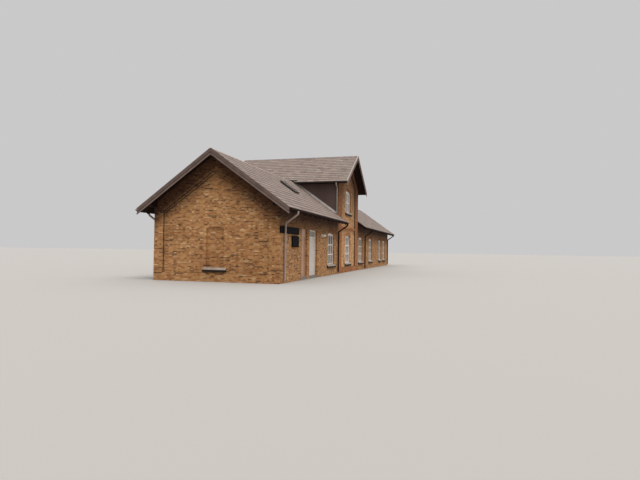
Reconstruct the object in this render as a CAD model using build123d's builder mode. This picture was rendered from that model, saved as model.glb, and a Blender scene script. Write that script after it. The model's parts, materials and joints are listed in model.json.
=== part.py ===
"""Railway station building: a two-storey cross-gabled block between two one-storey wings.

Millimetres. +X runs along the platform, away from the near gable. The platform front
faces -Y. +Z is up, and z = 0 is the ground. The origin is under the middle of the
building's outer box.
"""
import os
from collections import namedtuple
from math import cos, floor, radians, tan

from build123d import *

# Plan
NEAR_LENGTH = 11400        # near wing, outer face of the gable to the middle block
BLOCK_WIDTH = 6650         # middle block, measured along the platform
FAR_LENGTH = 17200         # far wing, middle block to its gable's outer face
WING_DEPTH = 6650          # both wings, outer face to outer face
REAR_PROJECTION = 1250     # how far the middle block stands out behind the wings
WALL = 380                 # one and a half bricks
PASSAGE_WIDTH = 1100       # the openings from the middle block to the wings
PASSAGE_HEAD = 2250

# Roofs, heights measured to the top of the slates
WING_RIDGE = 6330
WING_PITCH = 35.5          # degrees
WING_EAVE = 640            # overhang past the front and rear walls
WING_VERGE = 550           # overhang past the gable walls
BLOCK_RIDGE = 8660
BLOCK_PITCH = 33.1         # degrees
BLOCK_EAVE = 300
BLOCK_VERGE = 670
ROOF_THICKNESS = 120       # slates, boards and rafters, square to the slope
RIDGE_TILE_RADIUS = 110
RIDGE_TILE_WALL = 18

# Floors
FLOOR_LEVEL = 150
UPPER_FLOOR_LEVEL = 3400
UPPER_FLOOR_THICKNESS = 220

# Brickwork relief
RELIEF = 65                # depth of the sunk gable panels
WING_STRIP = 520           # width of the corner strips beside a wing's gable panel
BLOCK_STRIP = 1080         # the same on the middle block
COURSE = 66.7              # one brick and its bed joint, the rise of one corbel step
CORBEL_BAND = 2 * COURSE   # height of the first corbel stage under a raking verge
WING_PANEL_DROP = 1000     # roof line down to the stepped head of the panel
BLOCK_PANEL_DROP = 780
PANEL_FOOT = 400           # height of the plain base under the panels
STRING_LEVEL = 3150
STRING_HEIGHT = 140
STRING_PROUD = 105         # string course in front of the sunk panel

# Windows
WINDOW_WIDTH = 1700
WINDOW_SILL = 650
WINDOW_HEIGHT = 2060       # sill to the crown of the segmental arch
WINDOW_RISE = 95           # rise of the arch
WINDOW_ROWS = 3
UPPER_SILL = 4385
UPPER_HEIGHT = 1645
UPPER_ROWS = 2
LIGHTS = 3
FRAME_SETBACK = 95         # face of the brickwork to the frame
FRAME_WIDTH = 70
FRAME_DEPTH = 70
BAR = 50                   # mullions and transoms
GLASS = 6
SILL_TOP = 40              # the sill's back edge above the foot of its opening
SILL_FALL = 110            # from there down to the nose
SILL_NOSE = 110            # height of the front face
SILL_PROUD = 90
SILL_HORN = 150            # how far a sill reaches past its opening on each side
NEAR_WINDOW_INSET = 1890   # centre, back from the middle block
FAR_WINDOWS_FROM_BLOCK = (1300, 6000)
FAR_WINDOWS_FROM_END = (5600, 2800)
BLIND_WINDOW_WIDTH = 950
BLIND_WINDOW_HEIGHT = 2010
BLIND_WINDOW_RISE = 90
BLIND_WINDOW_DEPTH = 115

# Doors, centres measured from the near corner
SIDE_DOOR_AT = 3850
SIDE_DOOR_WIDTH = 950
MAIN_DOOR_AT = 5510
MAIN_DOOR_WIDTH = 1500
DOOR_HEAD = 2720           # top of the doorways above the ground
JAMB = 60
JAMB_DEPTH = 90
LEAF_TOP = 2270
TRANSOM = 70
LEAF = 46
LEAF_GAP = 6               # leaf to jamb, transom and floor
MEETING_GAP = 10
KNUCKLE_GAP = 0.3          # hinge knuckle to jamb
KNUCKLE_LENGTH = 110
KNUCKLE_HEIGHTS = (380, 1200, 2040)
HANDLE_HEIGHT = 1050
HANDLE_RADIUS = 11
HANDLE_REACH = 55
HANDLE_LENGTH = 120
HANDLE_BACKSET = 70        # free edge of the leaf to the lever's spindle
DOOR_SETBACK = 110         # outer face of the brickwork to the door frame

# Timber at the eaves and verges
BARGEBOARD = 28
BARGE_UPPER = 150
BARGE_LOWER = 130
BARGE_STEP = 22            # how far the upper board stands in front of the lower one
RAFTER_WIDTH = 90
RAFTER_DEPTH = 130
RAFTER_SPACING = 900
RAFTER_SETBACK = 20        # rafter end behind the eaves edge
PURLIN_WIDTH = 160
PURLIN_DEPTH = 200
CLADDING = 25              # boards on the middle block's sides, above the wings' roofs
CLADDING_START = 200       # front corner of the block to the cladding
CLADDING_GAP = 4           # slates to the cladding's lower edge

# Rainwater goods
GUTTER_RADIUS = 65
GUTTER_WALL = 3
GUTTER_GAP = 0.3           # eaves edge to the gutter's back
GUTTER_DROP = 25           # slates' edge to the gutter's rim
GUTTER_END = 60            # verge to the gutter's end
RIDGE_CLEARANCE = 220      # a wing's ridge to the ends of the block gutters beside it, in height
PIPE_RADIUS = 50
PIPE_STANDOFF = 40
PIPE_DROP = 140            # straight length under the gutter
PIPE_FALL = 0.7            # fall of the swan neck for each unit of its run
PIPE_BEND = 80             # radius of the swan neck's bends
PIPE_FOOT = 120
NEAR_PIPE_AT = 570         # from the near corner
NEAR_PIPE_INSET = 230      # back from the middle block
FAR_PIPE_AT = 2900         # from the middle block
FAR_PIPE_INSET = 500       # back from the far end
BLOCK_PIPE_RADIUS = 38
BLOCK_PIPE_AT = 100        # from the middle block's corners
BLOCK_PIPE_FOOT = 60       # slates to the pipe's end

# Fittings on the near wing, centres measured from the near corner
NAME_BOARD = (2750, 340, 40)
NAME_BOARD_AT = (1400, 2540)      # distance along the wall, and height
NOTICE_BOARD = (1000, 560, 60)
NOTICE_BOARD_AT = (2200, 2010)
LAMP_LENGTH = 450
LAMP_RADIUS = 60
LAMP_PLATE = (620, 30, 150)
LAMP_LEVEL = 2480
HATCH_WIDTH = 760
HATCH_LENGTH = 1100
HATCH_UPSTAND = 90
HATCH_LID = 30
HATCH_LIP = 35
HATCH_AT = (6350, 1500)           # from the near corner, and from the ridge in plan

# Places that follow from the driving sizes
X_NEAR = -(NEAR_LENGTH + BLOCK_WIDTH + FAR_LENGTH) / 2
X_BLOCK = X_NEAR + NEAR_LENGTH
X_FAR = X_BLOCK + BLOCK_WIDTH
X_END = X_FAR + FAR_LENGTH
NEAR_VERGE = X_NEAR - WING_VERGE
FAR_VERGE = X_END + WING_VERGE
BLOCK_AXIS = (X_BLOCK + X_FAR) / 2
FRONT_REACH = WING_DEPTH / 2 + max(BLOCK_VERGE, WING_EAVE + 2 * GUTTER_RADIUS + GUTTER_GAP)
REAR_REACH = WING_DEPTH / 2 + REAR_PROJECTION + BLOCK_VERGE
Y_RIDGE = (FRONT_REACH - REAR_REACH) / 2
Y_FRONT = Y_RIDGE - WING_DEPTH / 2
Y_REAR = Y_RIDGE + WING_DEPTH / 2
Y_BLOCK_REAR = Y_REAR + REAR_PROJECTION
WING_SLOPE = tan(radians(WING_PITCH))
BLOCK_SLOPE = tan(radians(BLOCK_PITCH))
WING_ROOF_DROP = ROOF_THICKNESS / cos(radians(WING_PITCH))
BLOCK_ROOF_DROP = ROOF_THICKNESS / cos(radians(BLOCK_PITCH))
WING_HALF = WING_DEPTH / 2 + WING_EAVE
BLOCK_HALF = BLOCK_WIDTH / 2 + BLOCK_EAVE
VERGE_BOARDS = BARGEBOARD + BARGE_STEP
TILE_RISE = RIDGE_TILE_RADIUS + RIDGE_TILE_WALL
MAIN_LEFT = X_NEAR + MAIN_DOOR_AT - MAIN_DOOR_WIDTH / 2
MAIN_RIGHT = X_NEAR + MAIN_DOOR_AT + MAIN_DOOR_WIDTH / 2
SIDE_LEFT = X_NEAR + SIDE_DOOR_AT - SIDE_DOOR_WIDTH / 2
SIDE_RIGHT = X_NEAR + SIDE_DOOR_AT + SIDE_DOOR_WIDTH / 2
DOOR_FRONT = Y_FRONT + DOOR_SETBACK
DOOR_BACK = DOOR_FRONT + JAMB_DEPTH

# One window: its centre along the wall, its sill, height and rows of panes, the face of the
# brickwork round it, and +1 or -1 for the direction from that face into the building
Window = namedtuple("Window", "x sill height rows face inward")

NEAR_WINDOW_X = X_BLOCK - NEAR_WINDOW_INSET
FAR_WINDOWS_X = ([X_FAR + at for at in FAR_WINDOWS_FROM_BLOCK]
                 + [X_END - at for at in FAR_WINDOWS_FROM_END])
near_front_windows = [Window(NEAR_WINDOW_X, WINDOW_SILL, WINDOW_HEIGHT, WINDOW_ROWS, Y_FRONT, 1)]
near_rear_windows = [Window(x, WINDOW_SILL, WINDOW_HEIGHT, WINDOW_ROWS, Y_REAR, -1)
                     for x in (X_NEAR + NEAR_WINDOW_INSET, X_NEAR + NEAR_LENGTH / 2, NEAR_WINDOW_X)]
block_front_windows = [Window(BLOCK_AXIS, WINDOW_SILL, WINDOW_HEIGHT, WINDOW_ROWS, Y_FRONT + RELIEF, 1),
                       Window(BLOCK_AXIS, UPPER_SILL, UPPER_HEIGHT, UPPER_ROWS, Y_FRONT + RELIEF, 1)]
block_rear_windows = [Window(BLOCK_AXIS, WINDOW_SILL, WINDOW_HEIGHT, WINDOW_ROWS, Y_BLOCK_REAR - RELIEF, -1),
                      Window(BLOCK_AXIS, UPPER_SILL, UPPER_HEIGHT, UPPER_ROWS, Y_BLOCK_REAR - RELIEF, -1)]
far_front_windows = [Window(x, WINDOW_SILL, WINDOW_HEIGHT, WINDOW_ROWS, Y_FRONT, 1) for x in FAR_WINDOWS_X]
far_rear_windows = [Window(x, WINDOW_SILL, WINDOW_HEIGHT, WINDOW_ROWS, Y_REAR, -1) for x in FAR_WINDOWS_X]

os.makedirs("parts", exist_ok=True)


def save(piece, label):
    """Name a finished piece and write it."""
    piece.part.label = label
    export_step(piece.part, f"parts/{label}.step")


def wing_top(y):
    """Height of the wings' slates at a distance from the ridge line."""
    return WING_RIDGE - WING_SLOPE * abs(y - Y_RIDGE)


def wing_under(y):
    """Height of the wings' roof underside."""
    return wing_top(y) - WING_ROOF_DROP


def block_top(x):
    """Height of the middle block's slates."""
    return BLOCK_RIDGE - BLOCK_SLOPE * abs(x - BLOCK_AXIS)


def block_under(x):
    """Height of the middle block's roof underside."""
    return block_top(x) - BLOCK_ROOF_DROP


def along_x(outline, x_start, x_stop, mode=Mode.ADD):
    """Extrude an outline of (y, z) points between two x, given in either order."""
    low, high = sorted((x_start, x_stop))
    with BuildSketch(Plane.YZ.offset(low)) as profile:
        with BuildLine():
            Polyline(*outline, close=True)
        make_face()
    extrude(profile.sketch, amount=high - low, mode=mode)


def along_y(outline, y_start, y_stop, mode=Mode.ADD):
    """Extrude an outline of (x, z) points between two y, given in either order."""
    low, high = sorted((y_start, y_stop))
    with BuildSketch(Plane.XZ.offset(-high)) as profile:
        with BuildLine():
            Polyline(*outline, close=True)
        make_face()
    extrude(profile.sketch, amount=high - low, mode=mode)


def box_between(x_limits, y_limits, z_limits, mode=Mode.ADD):
    """Add a straight-sided block between the given limits."""
    limits = (x_limits, y_limits, z_limits)
    with Locations(tuple(sum(pair) / 2 for pair in limits)):
        Box(*[abs(pair[1] - pair[0]) for pair in limits], mode=mode)


def arch_outline(middle, sill, width, height, rise):
    """Draw an outline with a segmental head in the current sketch plane."""
    spring = sill + height - rise
    left, right = middle - width / 2, middle + width / 2
    with BuildLine() as outline:
        Polyline((left, spring), (left, sill), (right, sill), (right, spring))
        ThreePointArc((left, spring), (middle, sill + height), (right, spring))
    make_face(outline.edges())


# Walls

def cut_windows(windows, y_outer, y_inner):
    """Cut the segmental-headed openings through a wall that faces Y."""
    low, high = sorted((y_outer, y_inner))
    for window in windows:
        with BuildSketch(Plane.XZ.offset(-high)) as profile:
            arch_outline(window.x, window.sill, WINDOW_WIDTH, window.height, WINDOW_RISE)
        extrude(profile.sketch, amount=high - low, mode=Mode.SUBTRACT)


def eaves_wall(x_start, x_stop, y_outer, inward, windows, foot=0):
    """Build a wing's front or rear wall, its top cut to the roof's underside."""
    y_inner = y_outer + inward * WALL
    with BuildPart() as wall:
        along_x([(y_outer, foot), (y_inner, foot), (y_inner, wing_under(y_inner)),
                 (y_outer, wing_under(y_outer))], x_start, x_stop)
        cut_windows(windows, y_outer, y_inner)
    return wall


save(eaves_wall(X_NEAR + WALL, SIDE_LEFT, Y_FRONT, 1, []), "near_front_wall_outer")
save(eaves_wall(MAIN_RIGHT, X_BLOCK, Y_FRONT, 1, near_front_windows), "near_front_wall_inner")
save(eaves_wall(SIDE_LEFT, MAIN_RIGHT, Y_FRONT, 1, [], foot=DOOR_HEAD), "near_front_door_head")
save(eaves_wall(X_NEAR + WALL, X_BLOCK, Y_REAR, -1, near_rear_windows), "near_rear_wall")
save(eaves_wall(X_FAR, X_END - WALL, Y_FRONT, 1, far_front_windows), "far_front_wall")
save(eaves_wall(X_FAR, X_END - WALL, Y_REAR, -1, far_rear_windows), "far_rear_wall")

with BuildPart() as near_front_pier:
    box_between((SIDE_RIGHT, MAIN_LEFT), (Y_FRONT, Y_FRONT + WALL), (0, DOOR_HEAD))
save(near_front_pier, "near_front_pier")


def stepped_panel(middle, half, head, slope):
    """List the corners of a sunk panel whose head climbs to the middle in steps of one course."""
    run = COURSE / slope
    left = [(-half, PANEL_FOOT)]
    for step in range(floor(half / run)):
        left.append((-half + step * run, head + step * COURSE))
        left.append((-half + (step + 1) * run, head + step * COURSE))
    left.pop()
    corners = left + [(-across, level) for across, level in reversed(left)]
    return [(middle + across, level) for across, level in corners]


def gable_wall(x_outer, inward):
    """Build a wing's gable wall with its twice corbelled panel and the blind window in it."""
    sunk = x_outer + inward * RELIEF
    back = sunk + inward * BLIND_WINDOW_DEPTH
    half = WING_DEPTH / 2 - WING_STRIP
    head = wing_top(Y_RIDGE + half) - WING_PANEL_DROP
    with BuildPart() as wall:
        along_x([(Y_FRONT, 0), (Y_REAR, 0), (Y_REAR, wing_under(Y_REAR)), (Y_RIDGE, wing_under(Y_RIDGE)),
                 (Y_FRONT, wing_under(Y_FRONT))], x_outer, x_outer + inward * WALL)
        for level, depth in ((head + CORBEL_BAND, RELIEF / 2), (head, RELIEF)):
            along_x(stepped_panel(Y_RIDGE, half, level, WING_SLOPE), x_outer, x_outer + inward * depth,
                    Mode.SUBTRACT)
        with BuildSketch(Plane.YZ.offset(min(x_outer, back))) as blind:
            arch_outline(Y_RIDGE, WINDOW_SILL, BLIND_WINDOW_WIDTH, BLIND_WINDOW_HEIGHT, BLIND_WINDOW_RISE)
        extrude(blind.sketch, amount=abs(back - x_outer), mode=Mode.SUBTRACT)
    return wall


save(gable_wall(X_NEAR, 1), "near_gable_wall")
save(gable_wall(X_END, -1), "far_gable_wall")


def block_gable(y_outer, inward, windows):
    """Build the middle block's front or rear gable wall with its twice corbelled panel."""
    y_inner = y_outer + inward * WALL
    half = BLOCK_WIDTH / 2 - BLOCK_STRIP
    head = block_top(BLOCK_AXIS + half) - BLOCK_PANEL_DROP
    with BuildPart() as wall:
        along_y([(X_BLOCK, 0), (X_FAR, 0), (X_FAR, block_under(X_FAR)), (BLOCK_AXIS, block_under(BLOCK_AXIS)),
                 (X_BLOCK, block_under(X_BLOCK))], y_outer, y_inner)
        for level, depth in ((head + CORBEL_BAND, RELIEF / 2), (head, RELIEF)):
            along_y(stepped_panel(BLOCK_AXIS, half, level, BLOCK_SLOPE), y_outer, y_outer + inward * depth,
                    Mode.SUBTRACT)
        cut_windows(windows, y_outer, y_inner)
    return wall


save(block_gable(Y_FRONT, 1, block_front_windows), "block_front_wall")
save(block_gable(Y_BLOCK_REAR, -1, block_rear_windows), "block_rear_wall")


def cross_wall(x_outer, inward):
    """Build a side wall of the middle block, with a passage to the wing at ground level."""
    x_inner = x_outer + inward * WALL
    with BuildPart() as wall:
        along_y([(x_outer, 0), (x_inner, 0), (x_inner, block_under(x_inner)),
                 (x_outer, block_under(x_outer))], Y_FRONT + WALL, Y_BLOCK_REAR - WALL)
        box_between((x_outer, x_inner), (Y_RIDGE - PASSAGE_WIDTH / 2, Y_RIDGE + PASSAGE_WIDTH / 2),
                    (FLOOR_LEVEL, PASSAGE_HEAD), Mode.SUBTRACT)
    return wall


save(cross_wall(X_BLOCK, 1), "block_near_wall")
save(cross_wall(X_FAR, -1), "block_far_wall")


def side_cladding(x_wall, outward):
    """Add the boards on a side of the middle block, cut out round a wing's roof and its ridge."""
    x_face = x_wall + outward * CLADDING
    eave = wing_top(Y_RIDGE + WING_HALF)
    box_between((x_wall, x_face), (Y_FRONT + CLADDING_START, Y_BLOCK_REAR - CLADDING_START),
                (eave, block_under(x_face)))
    along_x([(Y_RIDGE - WING_HALF, eave), (Y_RIDGE - WING_HALF, eave + CLADDING_GAP),
             (Y_RIDGE, WING_RIDGE + CLADDING_GAP), (Y_RIDGE + WING_HALF, eave + CLADDING_GAP),
             (Y_RIDGE + WING_HALF, eave)], x_wall, x_face, Mode.SUBTRACT)
    box_between((x_wall, x_face), (Y_RIDGE - TILE_RISE, Y_RIDGE + TILE_RISE),
                (wing_top(Y_RIDGE + TILE_RISE), WING_RIDGE + TILE_RISE), Mode.SUBTRACT)


with BuildPart() as block_side_cladding:
    side_cladding(X_BLOCK, -1)
    side_cladding(X_FAR, 1)
save(block_side_cladding, "block_side_cladding")

with BuildPart() as string_courses:
    for y_outer, inward in ((Y_FRONT, 1), (Y_BLOCK_REAR, -1)):
        sunk = y_outer + inward * RELIEF
        box_between((X_BLOCK + BLOCK_STRIP, X_FAR - BLOCK_STRIP), (sunk, sunk - inward * STRING_PROUD),
                    (STRING_LEVEL, STRING_LEVEL + STRING_HEIGHT))
save(string_courses, "string_courses")

# Floors

with BuildPart() as ground_floor:
    box_between((X_NEAR + WALL, X_BLOCK), (Y_FRONT + WALL, Y_REAR - WALL), (0, FLOOR_LEVEL))
    box_between((X_BLOCK + WALL, X_FAR - WALL), (Y_FRONT + WALL, Y_BLOCK_REAR - WALL), (0, FLOOR_LEVEL))
    box_between((X_FAR, X_END - WALL), (Y_FRONT + WALL, Y_REAR - WALL), (0, FLOOR_LEVEL))
save(ground_floor, "ground_floor")

with BuildPart() as upper_floor:
    box_between((X_BLOCK + WALL, X_FAR - WALL), (Y_FRONT + WALL, Y_BLOCK_REAR - WALL),
                (UPPER_FLOOR_LEVEL - UPPER_FLOOR_THICKNESS, UPPER_FLOOR_LEVEL))
save(upper_floor, "upper_floor")

with BuildPart() as door_thresholds:
    box_between((SIDE_LEFT, SIDE_RIGHT), (Y_FRONT, Y_FRONT + WALL), (0, FLOOR_LEVEL))
    box_between((MAIN_LEFT, MAIN_RIGHT), (Y_FRONT, Y_FRONT + WALL), (0, FLOOR_LEVEL))
save(door_thresholds, "door_thresholds")

# Roofs


def wing_slope(x_start, x_stop, side):
    """Build one slope of a wing roof; side is -1 for the front and +1 for the rear."""
    edge = Y_RIDGE + side * WING_HALF
    with BuildPart() as slope:
        along_x([(Y_RIDGE, WING_RIDGE), (edge, wing_top(edge)), (edge, wing_under(edge)),
                 (Y_RIDGE, wing_under(Y_RIDGE))], x_start, x_stop)
    return slope


save(wing_slope(NEAR_VERGE + VERGE_BOARDS, X_BLOCK, -1), "near_roof_front")
save(wing_slope(NEAR_VERGE + VERGE_BOARDS, X_BLOCK, 1), "near_roof_rear")
save(wing_slope(X_FAR, FAR_VERGE - VERGE_BOARDS, -1), "far_roof_front")
save(wing_slope(X_FAR, FAR_VERGE - VERGE_BOARDS, 1), "far_roof_rear")


def block_slope(side):
    """Build one slope of the middle roof, notched where a wing's ridge runs in under it."""
    edge = BLOCK_AXIS + side * BLOCK_HALF
    with BuildPart() as slope:
        along_y([(BLOCK_AXIS, BLOCK_RIDGE), (edge, block_top(edge)), (edge, block_under(edge)),
                 (BLOCK_AXIS, block_under(BLOCK_AXIS))],
                Y_FRONT - BLOCK_VERGE + VERGE_BOARDS, Y_BLOCK_REAR + BLOCK_VERGE - VERGE_BOARDS)
        peak = WING_RIDGE + TILE_RISE
        if peak > block_under(edge):
            along_x([(Y_RIDGE, peak), (Y_RIDGE - peak / WING_SLOPE, 0), (Y_RIDGE + peak / WING_SLOPE, 0)],
                    edge, BLOCK_AXIS + side * BLOCK_WIDTH / 2, Mode.SUBTRACT)
    return slope


save(block_slope(-1), "block_roof_near")
save(block_slope(1), "block_roof_far")


def ridge_section(middle, ridge_top, foot):
    """Draw a ridge tile that sits astride a ridge, in (across, height) terms."""
    with BuildLine() as outline:
        Polyline((middle + RIDGE_TILE_RADIUS, foot), (middle, ridge_top), (middle - RIDGE_TILE_RADIUS, foot))
        ThreePointArc((middle - RIDGE_TILE_RADIUS, foot), (middle, ridge_top + RIDGE_TILE_WALL),
                      (middle + RIDGE_TILE_RADIUS, foot))
    make_face(outline.edges())


with BuildPart() as wing_ridges:
    for x_start, x_stop in ((NEAR_VERGE, X_BLOCK), (X_FAR, FAR_VERGE)):
        with BuildSketch(Plane.YZ.offset(x_start)) as profile:
            ridge_section(Y_RIDGE, WING_RIDGE, wing_top(Y_RIDGE + RIDGE_TILE_RADIUS))
        extrude(profile.sketch, amount=x_stop - x_start)
save(wing_ridges, "wing_ridge_tiles")

with BuildPart() as block_ridge:
    with BuildSketch(Plane.XZ.offset(-(Y_BLOCK_REAR + BLOCK_VERGE))) as profile:
        ridge_section(BLOCK_AXIS, BLOCK_RIDGE, block_top(BLOCK_AXIS + RIDGE_TILE_RADIUS))
    extrude(profile.sketch, amount=Y_BLOCK_REAR - Y_FRONT + 2 * BLOCK_VERGE)
save(block_ridge, "block_ridge_tiles")

with BuildPart() as roof_hatch:
    hatch_x, hatch_y = X_NEAR + HATCH_AT[0], Y_RIDGE - HATCH_AT[1]
    on_slates = Plane(origin=(hatch_x, hatch_y, wing_top(hatch_y)), x_dir=(1, 0, 0),
                      z_dir=(0, -WING_SLOPE, 1))
    bottom = (Align.CENTER, Align.CENTER, Align.MIN)
    with Locations(on_slates):
        Box(HATCH_WIDTH, HATCH_LENGTH, HATCH_UPSTAND, align=bottom)
    with Locations(on_slates.offset(HATCH_UPSTAND)):
        Box(HATCH_WIDTH + 2 * HATCH_LIP, HATCH_LENGTH + 2 * HATCH_LIP, HATCH_LID, align=bottom)
save(roof_hatch, "roof_hatch")

# Timber at the verges and eaves


def barge_outlines(half, slope, ridge_top):
    """List the raking outlines of a pair of upper and lower boards, as (across, height) points."""
    boards = []
    for top, bottom in ((0, BARGE_UPPER), (BARGE_UPPER, BARGE_UPPER + BARGE_LOWER)):
        foot = ridge_top - slope * half
        boards.append([(0, ridge_top - top), (half, foot - top), (half, foot - bottom),
                       (0, ridge_top - bottom), (-half, foot - bottom), (-half, foot - top)])
    return boards


with BuildPart() as wing_bargeboards:
    upper, lower = [[(Y_RIDGE + across, level) for across, level in board]
                    for board in barge_outlines(WING_HALF, WING_SLOPE, WING_RIDGE)]
    for x_outer, inward in ((NEAR_VERGE, 1), (FAR_VERGE, -1)):
        along_x(upper, x_outer, x_outer + inward * VERGE_BOARDS)
        along_x(lower, x_outer + inward * BARGE_STEP, x_outer + inward * VERGE_BOARDS)
save(wing_bargeboards, "wing_bargeboards")

with BuildPart() as block_bargeboards:
    upper, lower = [[(BLOCK_AXIS + across, level) for across, level in board]
                    for board in barge_outlines(BLOCK_HALF, BLOCK_SLOPE, BLOCK_RIDGE)]
    for y_outer, inward in ((Y_FRONT - BLOCK_VERGE, 1), (Y_BLOCK_REAR + BLOCK_VERGE, -1)):
        along_y(upper, y_outer, y_outer + inward * VERGE_BOARDS)
        along_y(lower, y_outer + inward * BARGE_STEP, y_outer + inward * VERGE_BOARDS)
save(block_bargeboards, "block_bargeboards")

with BuildPart() as rafter_tails:
    for x_start, x_stop in ((X_NEAR, X_BLOCK), (X_FAR, X_END)):
        count = floor((x_stop - x_start - RAFTER_WIDTH) / RAFTER_SPACING) + 1
        first = (x_start + x_stop - (count - 1) * RAFTER_SPACING) / 2
        for side, y_wall in ((-1, Y_FRONT), (1, Y_REAR)):
            edge = Y_RIDGE + side * (WING_HALF - RAFTER_SETBACK)
            tail = [(y_wall, wing_under(y_wall)), (edge, wing_under(edge)),
                    (edge, wing_under(edge) - RAFTER_DEPTH / 2), (y_wall, wing_under(y_wall) - RAFTER_DEPTH)]
            for index in range(count):
                middle = first + index * RAFTER_SPACING
                along_x(tail, middle - RAFTER_WIDTH / 2, middle + RAFTER_WIDTH / 2)
save(rafter_tails, "rafter_tails")

with BuildPart() as wing_purlin_ends:
    for x_start, x_stop in ((NEAR_VERGE + VERGE_BOARDS, X_NEAR), (X_END, FAR_VERGE - VERGE_BOARDS)):
        for start, stop in ((Y_FRONT, Y_FRONT + PURLIN_WIDTH), (Y_REAR - PURLIN_WIDTH, Y_REAR),
                            (Y_RIDGE - PURLIN_WIDTH / 2, Y_RIDGE + PURLIN_WIDTH / 2)):
            middle = (start + stop) / 2
            low = min(wing_under(start), wing_under(stop)) - PURLIN_DEPTH
            along_x([(start, low), (stop, low), (stop, wing_under(stop)), (middle, wing_under(middle)),
                     (start, wing_under(start))], x_start, x_stop)
save(wing_purlin_ends, "wing_purlin_ends")

# Rainwater goods


def gutter_section(edge, level, side):
    """Draw a half-round gutter just outside an eaves edge, in (across, height) terms."""
    middle = edge + side * (GUTTER_RADIUS + GUTTER_GAP)
    rim = level - GUTTER_DROP
    inner = GUTTER_RADIUS - GUTTER_WALL
    with BuildLine() as outline:
        Line((middle - GUTTER_RADIUS, rim), (middle - inner, rim))
        ThreePointArc((middle - inner, rim), (middle, rim - inner), (middle + inner, rim))
        Line((middle + inner, rim), (middle + GUTTER_RADIUS, rim))
        ThreePointArc((middle + GUTTER_RADIUS, rim), (middle, rim - GUTTER_RADIUS),
                      (middle - GUTTER_RADIUS, rim))
    make_face(outline.edges())


with BuildPart() as wing_gutters:
    for x_start, x_stop in ((NEAR_VERGE + GUTTER_END, X_BLOCK), (X_FAR, FAR_VERGE - GUTTER_END)):
        for side in (-1, 1):
            edge = Y_RIDGE + side * WING_HALF
            with BuildSketch(Plane.YZ.offset(x_start)) as profile:
                gutter_section(edge, wing_top(edge), side)
            extrude(profile.sketch, amount=x_stop - x_start)
save(wing_gutters, "wing_gutters")

with BuildPart() as block_gutters:
    for side in (-1, 1):
        edge = BLOCK_AXIS + side * BLOCK_HALF
        level = block_top(edge)
        reach = max(0, (WING_RIDGE + RIDGE_CLEARANCE - level) / WING_SLOPE)
        for y_start, y_stop in ((Y_FRONT - BLOCK_VERGE + GUTTER_END, Y_RIDGE - reach),
                                (Y_RIDGE + reach, Y_BLOCK_REAR + BLOCK_VERGE - GUTTER_END)):
            with BuildSketch(Plane.XZ.offset(-y_stop)) as profile:
                gutter_section(edge, level, side)
            extrude(profile.sketch, amount=y_stop - y_start)
save(block_gutters, "block_gutters")


def downpipe(top, toward, run, foot, radius):
    """Add a pipe that drops from a gutter, swans over by run in the direction toward, and ends at foot."""
    x, y, z = top
    far_x, far_y = x + toward[0] * run, y + toward[1] * run
    neck = z - PIPE_DROP
    with BuildLine() as path:
        FilletPolyline(top, (x, y, neck), (far_x, far_y, neck - run * PIPE_FALL), (far_x, far_y, foot),
                       radius=PIPE_BEND)
    with BuildSketch(Plane(origin=top, z_dir=(0, 0, -1))) as section:
        Circle(radius)
    sweep(section.sketch, path=path.wire())


with BuildPart() as wing_downpipes:
    for side in (-1, 1):
        edge = Y_RIDGE + side * WING_HALF
        gutter_y = edge + side * (GUTTER_RADIUS + GUTTER_GAP)
        run = WING_EAVE + GUTTER_RADIUS + GUTTER_GAP - PIPE_STANDOFF - PIPE_RADIUS
        outlet = wing_top(edge) - GUTTER_DROP - GUTTER_RADIUS
        for x in (X_NEAR + NEAR_PIPE_AT, X_BLOCK - NEAR_PIPE_INSET,
                  X_FAR + FAR_PIPE_AT, X_END - FAR_PIPE_INSET):
            downpipe((x, gutter_y, outlet), (0, -side), run, PIPE_FOOT, PIPE_RADIUS)
save(wing_downpipes, "wing_downpipes")

with BuildPart() as block_downpipes:
    for side in (-1, 1):
        edge = BLOCK_AXIS + side * BLOCK_HALF
        gutter_x = edge + side * (GUTTER_RADIUS + GUTTER_GAP)
        run = BLOCK_EAVE + GUTTER_RADIUS + GUTTER_GAP - PIPE_STANDOFF - BLOCK_PIPE_RADIUS
        outlet = block_top(edge) - GUTTER_DROP - GUTTER_RADIUS
        front, rear = Y_FRONT + BLOCK_PIPE_AT, Y_BLOCK_REAR - BLOCK_PIPE_AT
        for y, foot in ((front, wing_top(front) + BLOCK_PIPE_FOOT), (rear, PIPE_FOOT)):
            downpipe((gutter_x, y, outlet), (-side, 0), run, foot, BLOCK_PIPE_RADIUS)
save(block_downpipes, "block_downpipes")

# Windows


def window_frame(window):
    """Add a frame of lights and rows under a solid arched head, set back in its opening."""
    outer = window.face + window.inward * FRAME_SETBACK
    low, high = sorted((outer, outer + window.inward * FRAME_DEPTH))
    light = (WINDOW_WIDTH - 2 * FRAME_WIDTH - (LIGHTS - 1) * BAR) / LIGHTS
    row = (window.height - WINDOW_RISE - 2 * FRAME_WIDTH - (window.rows - 1) * BAR) / window.rows
    first_x = window.x - WINDOW_WIDTH / 2 + FRAME_WIDTH + light / 2
    first_z = window.sill + FRAME_WIDTH + row / 2
    panes = [(first_x + i * (light + BAR), first_z + j * (row + BAR))
             for i in range(LIGHTS) for j in range(window.rows)]
    with BuildSketch(Plane.XZ.offset(-high)) as profile:
        arch_outline(window.x, window.sill, WINDOW_WIDTH, window.height, WINDOW_RISE)
        with Locations(panes):
            Rectangle(light, row, mode=Mode.SUBTRACT)
    extrude(profile.sketch, amount=high - low)


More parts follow.
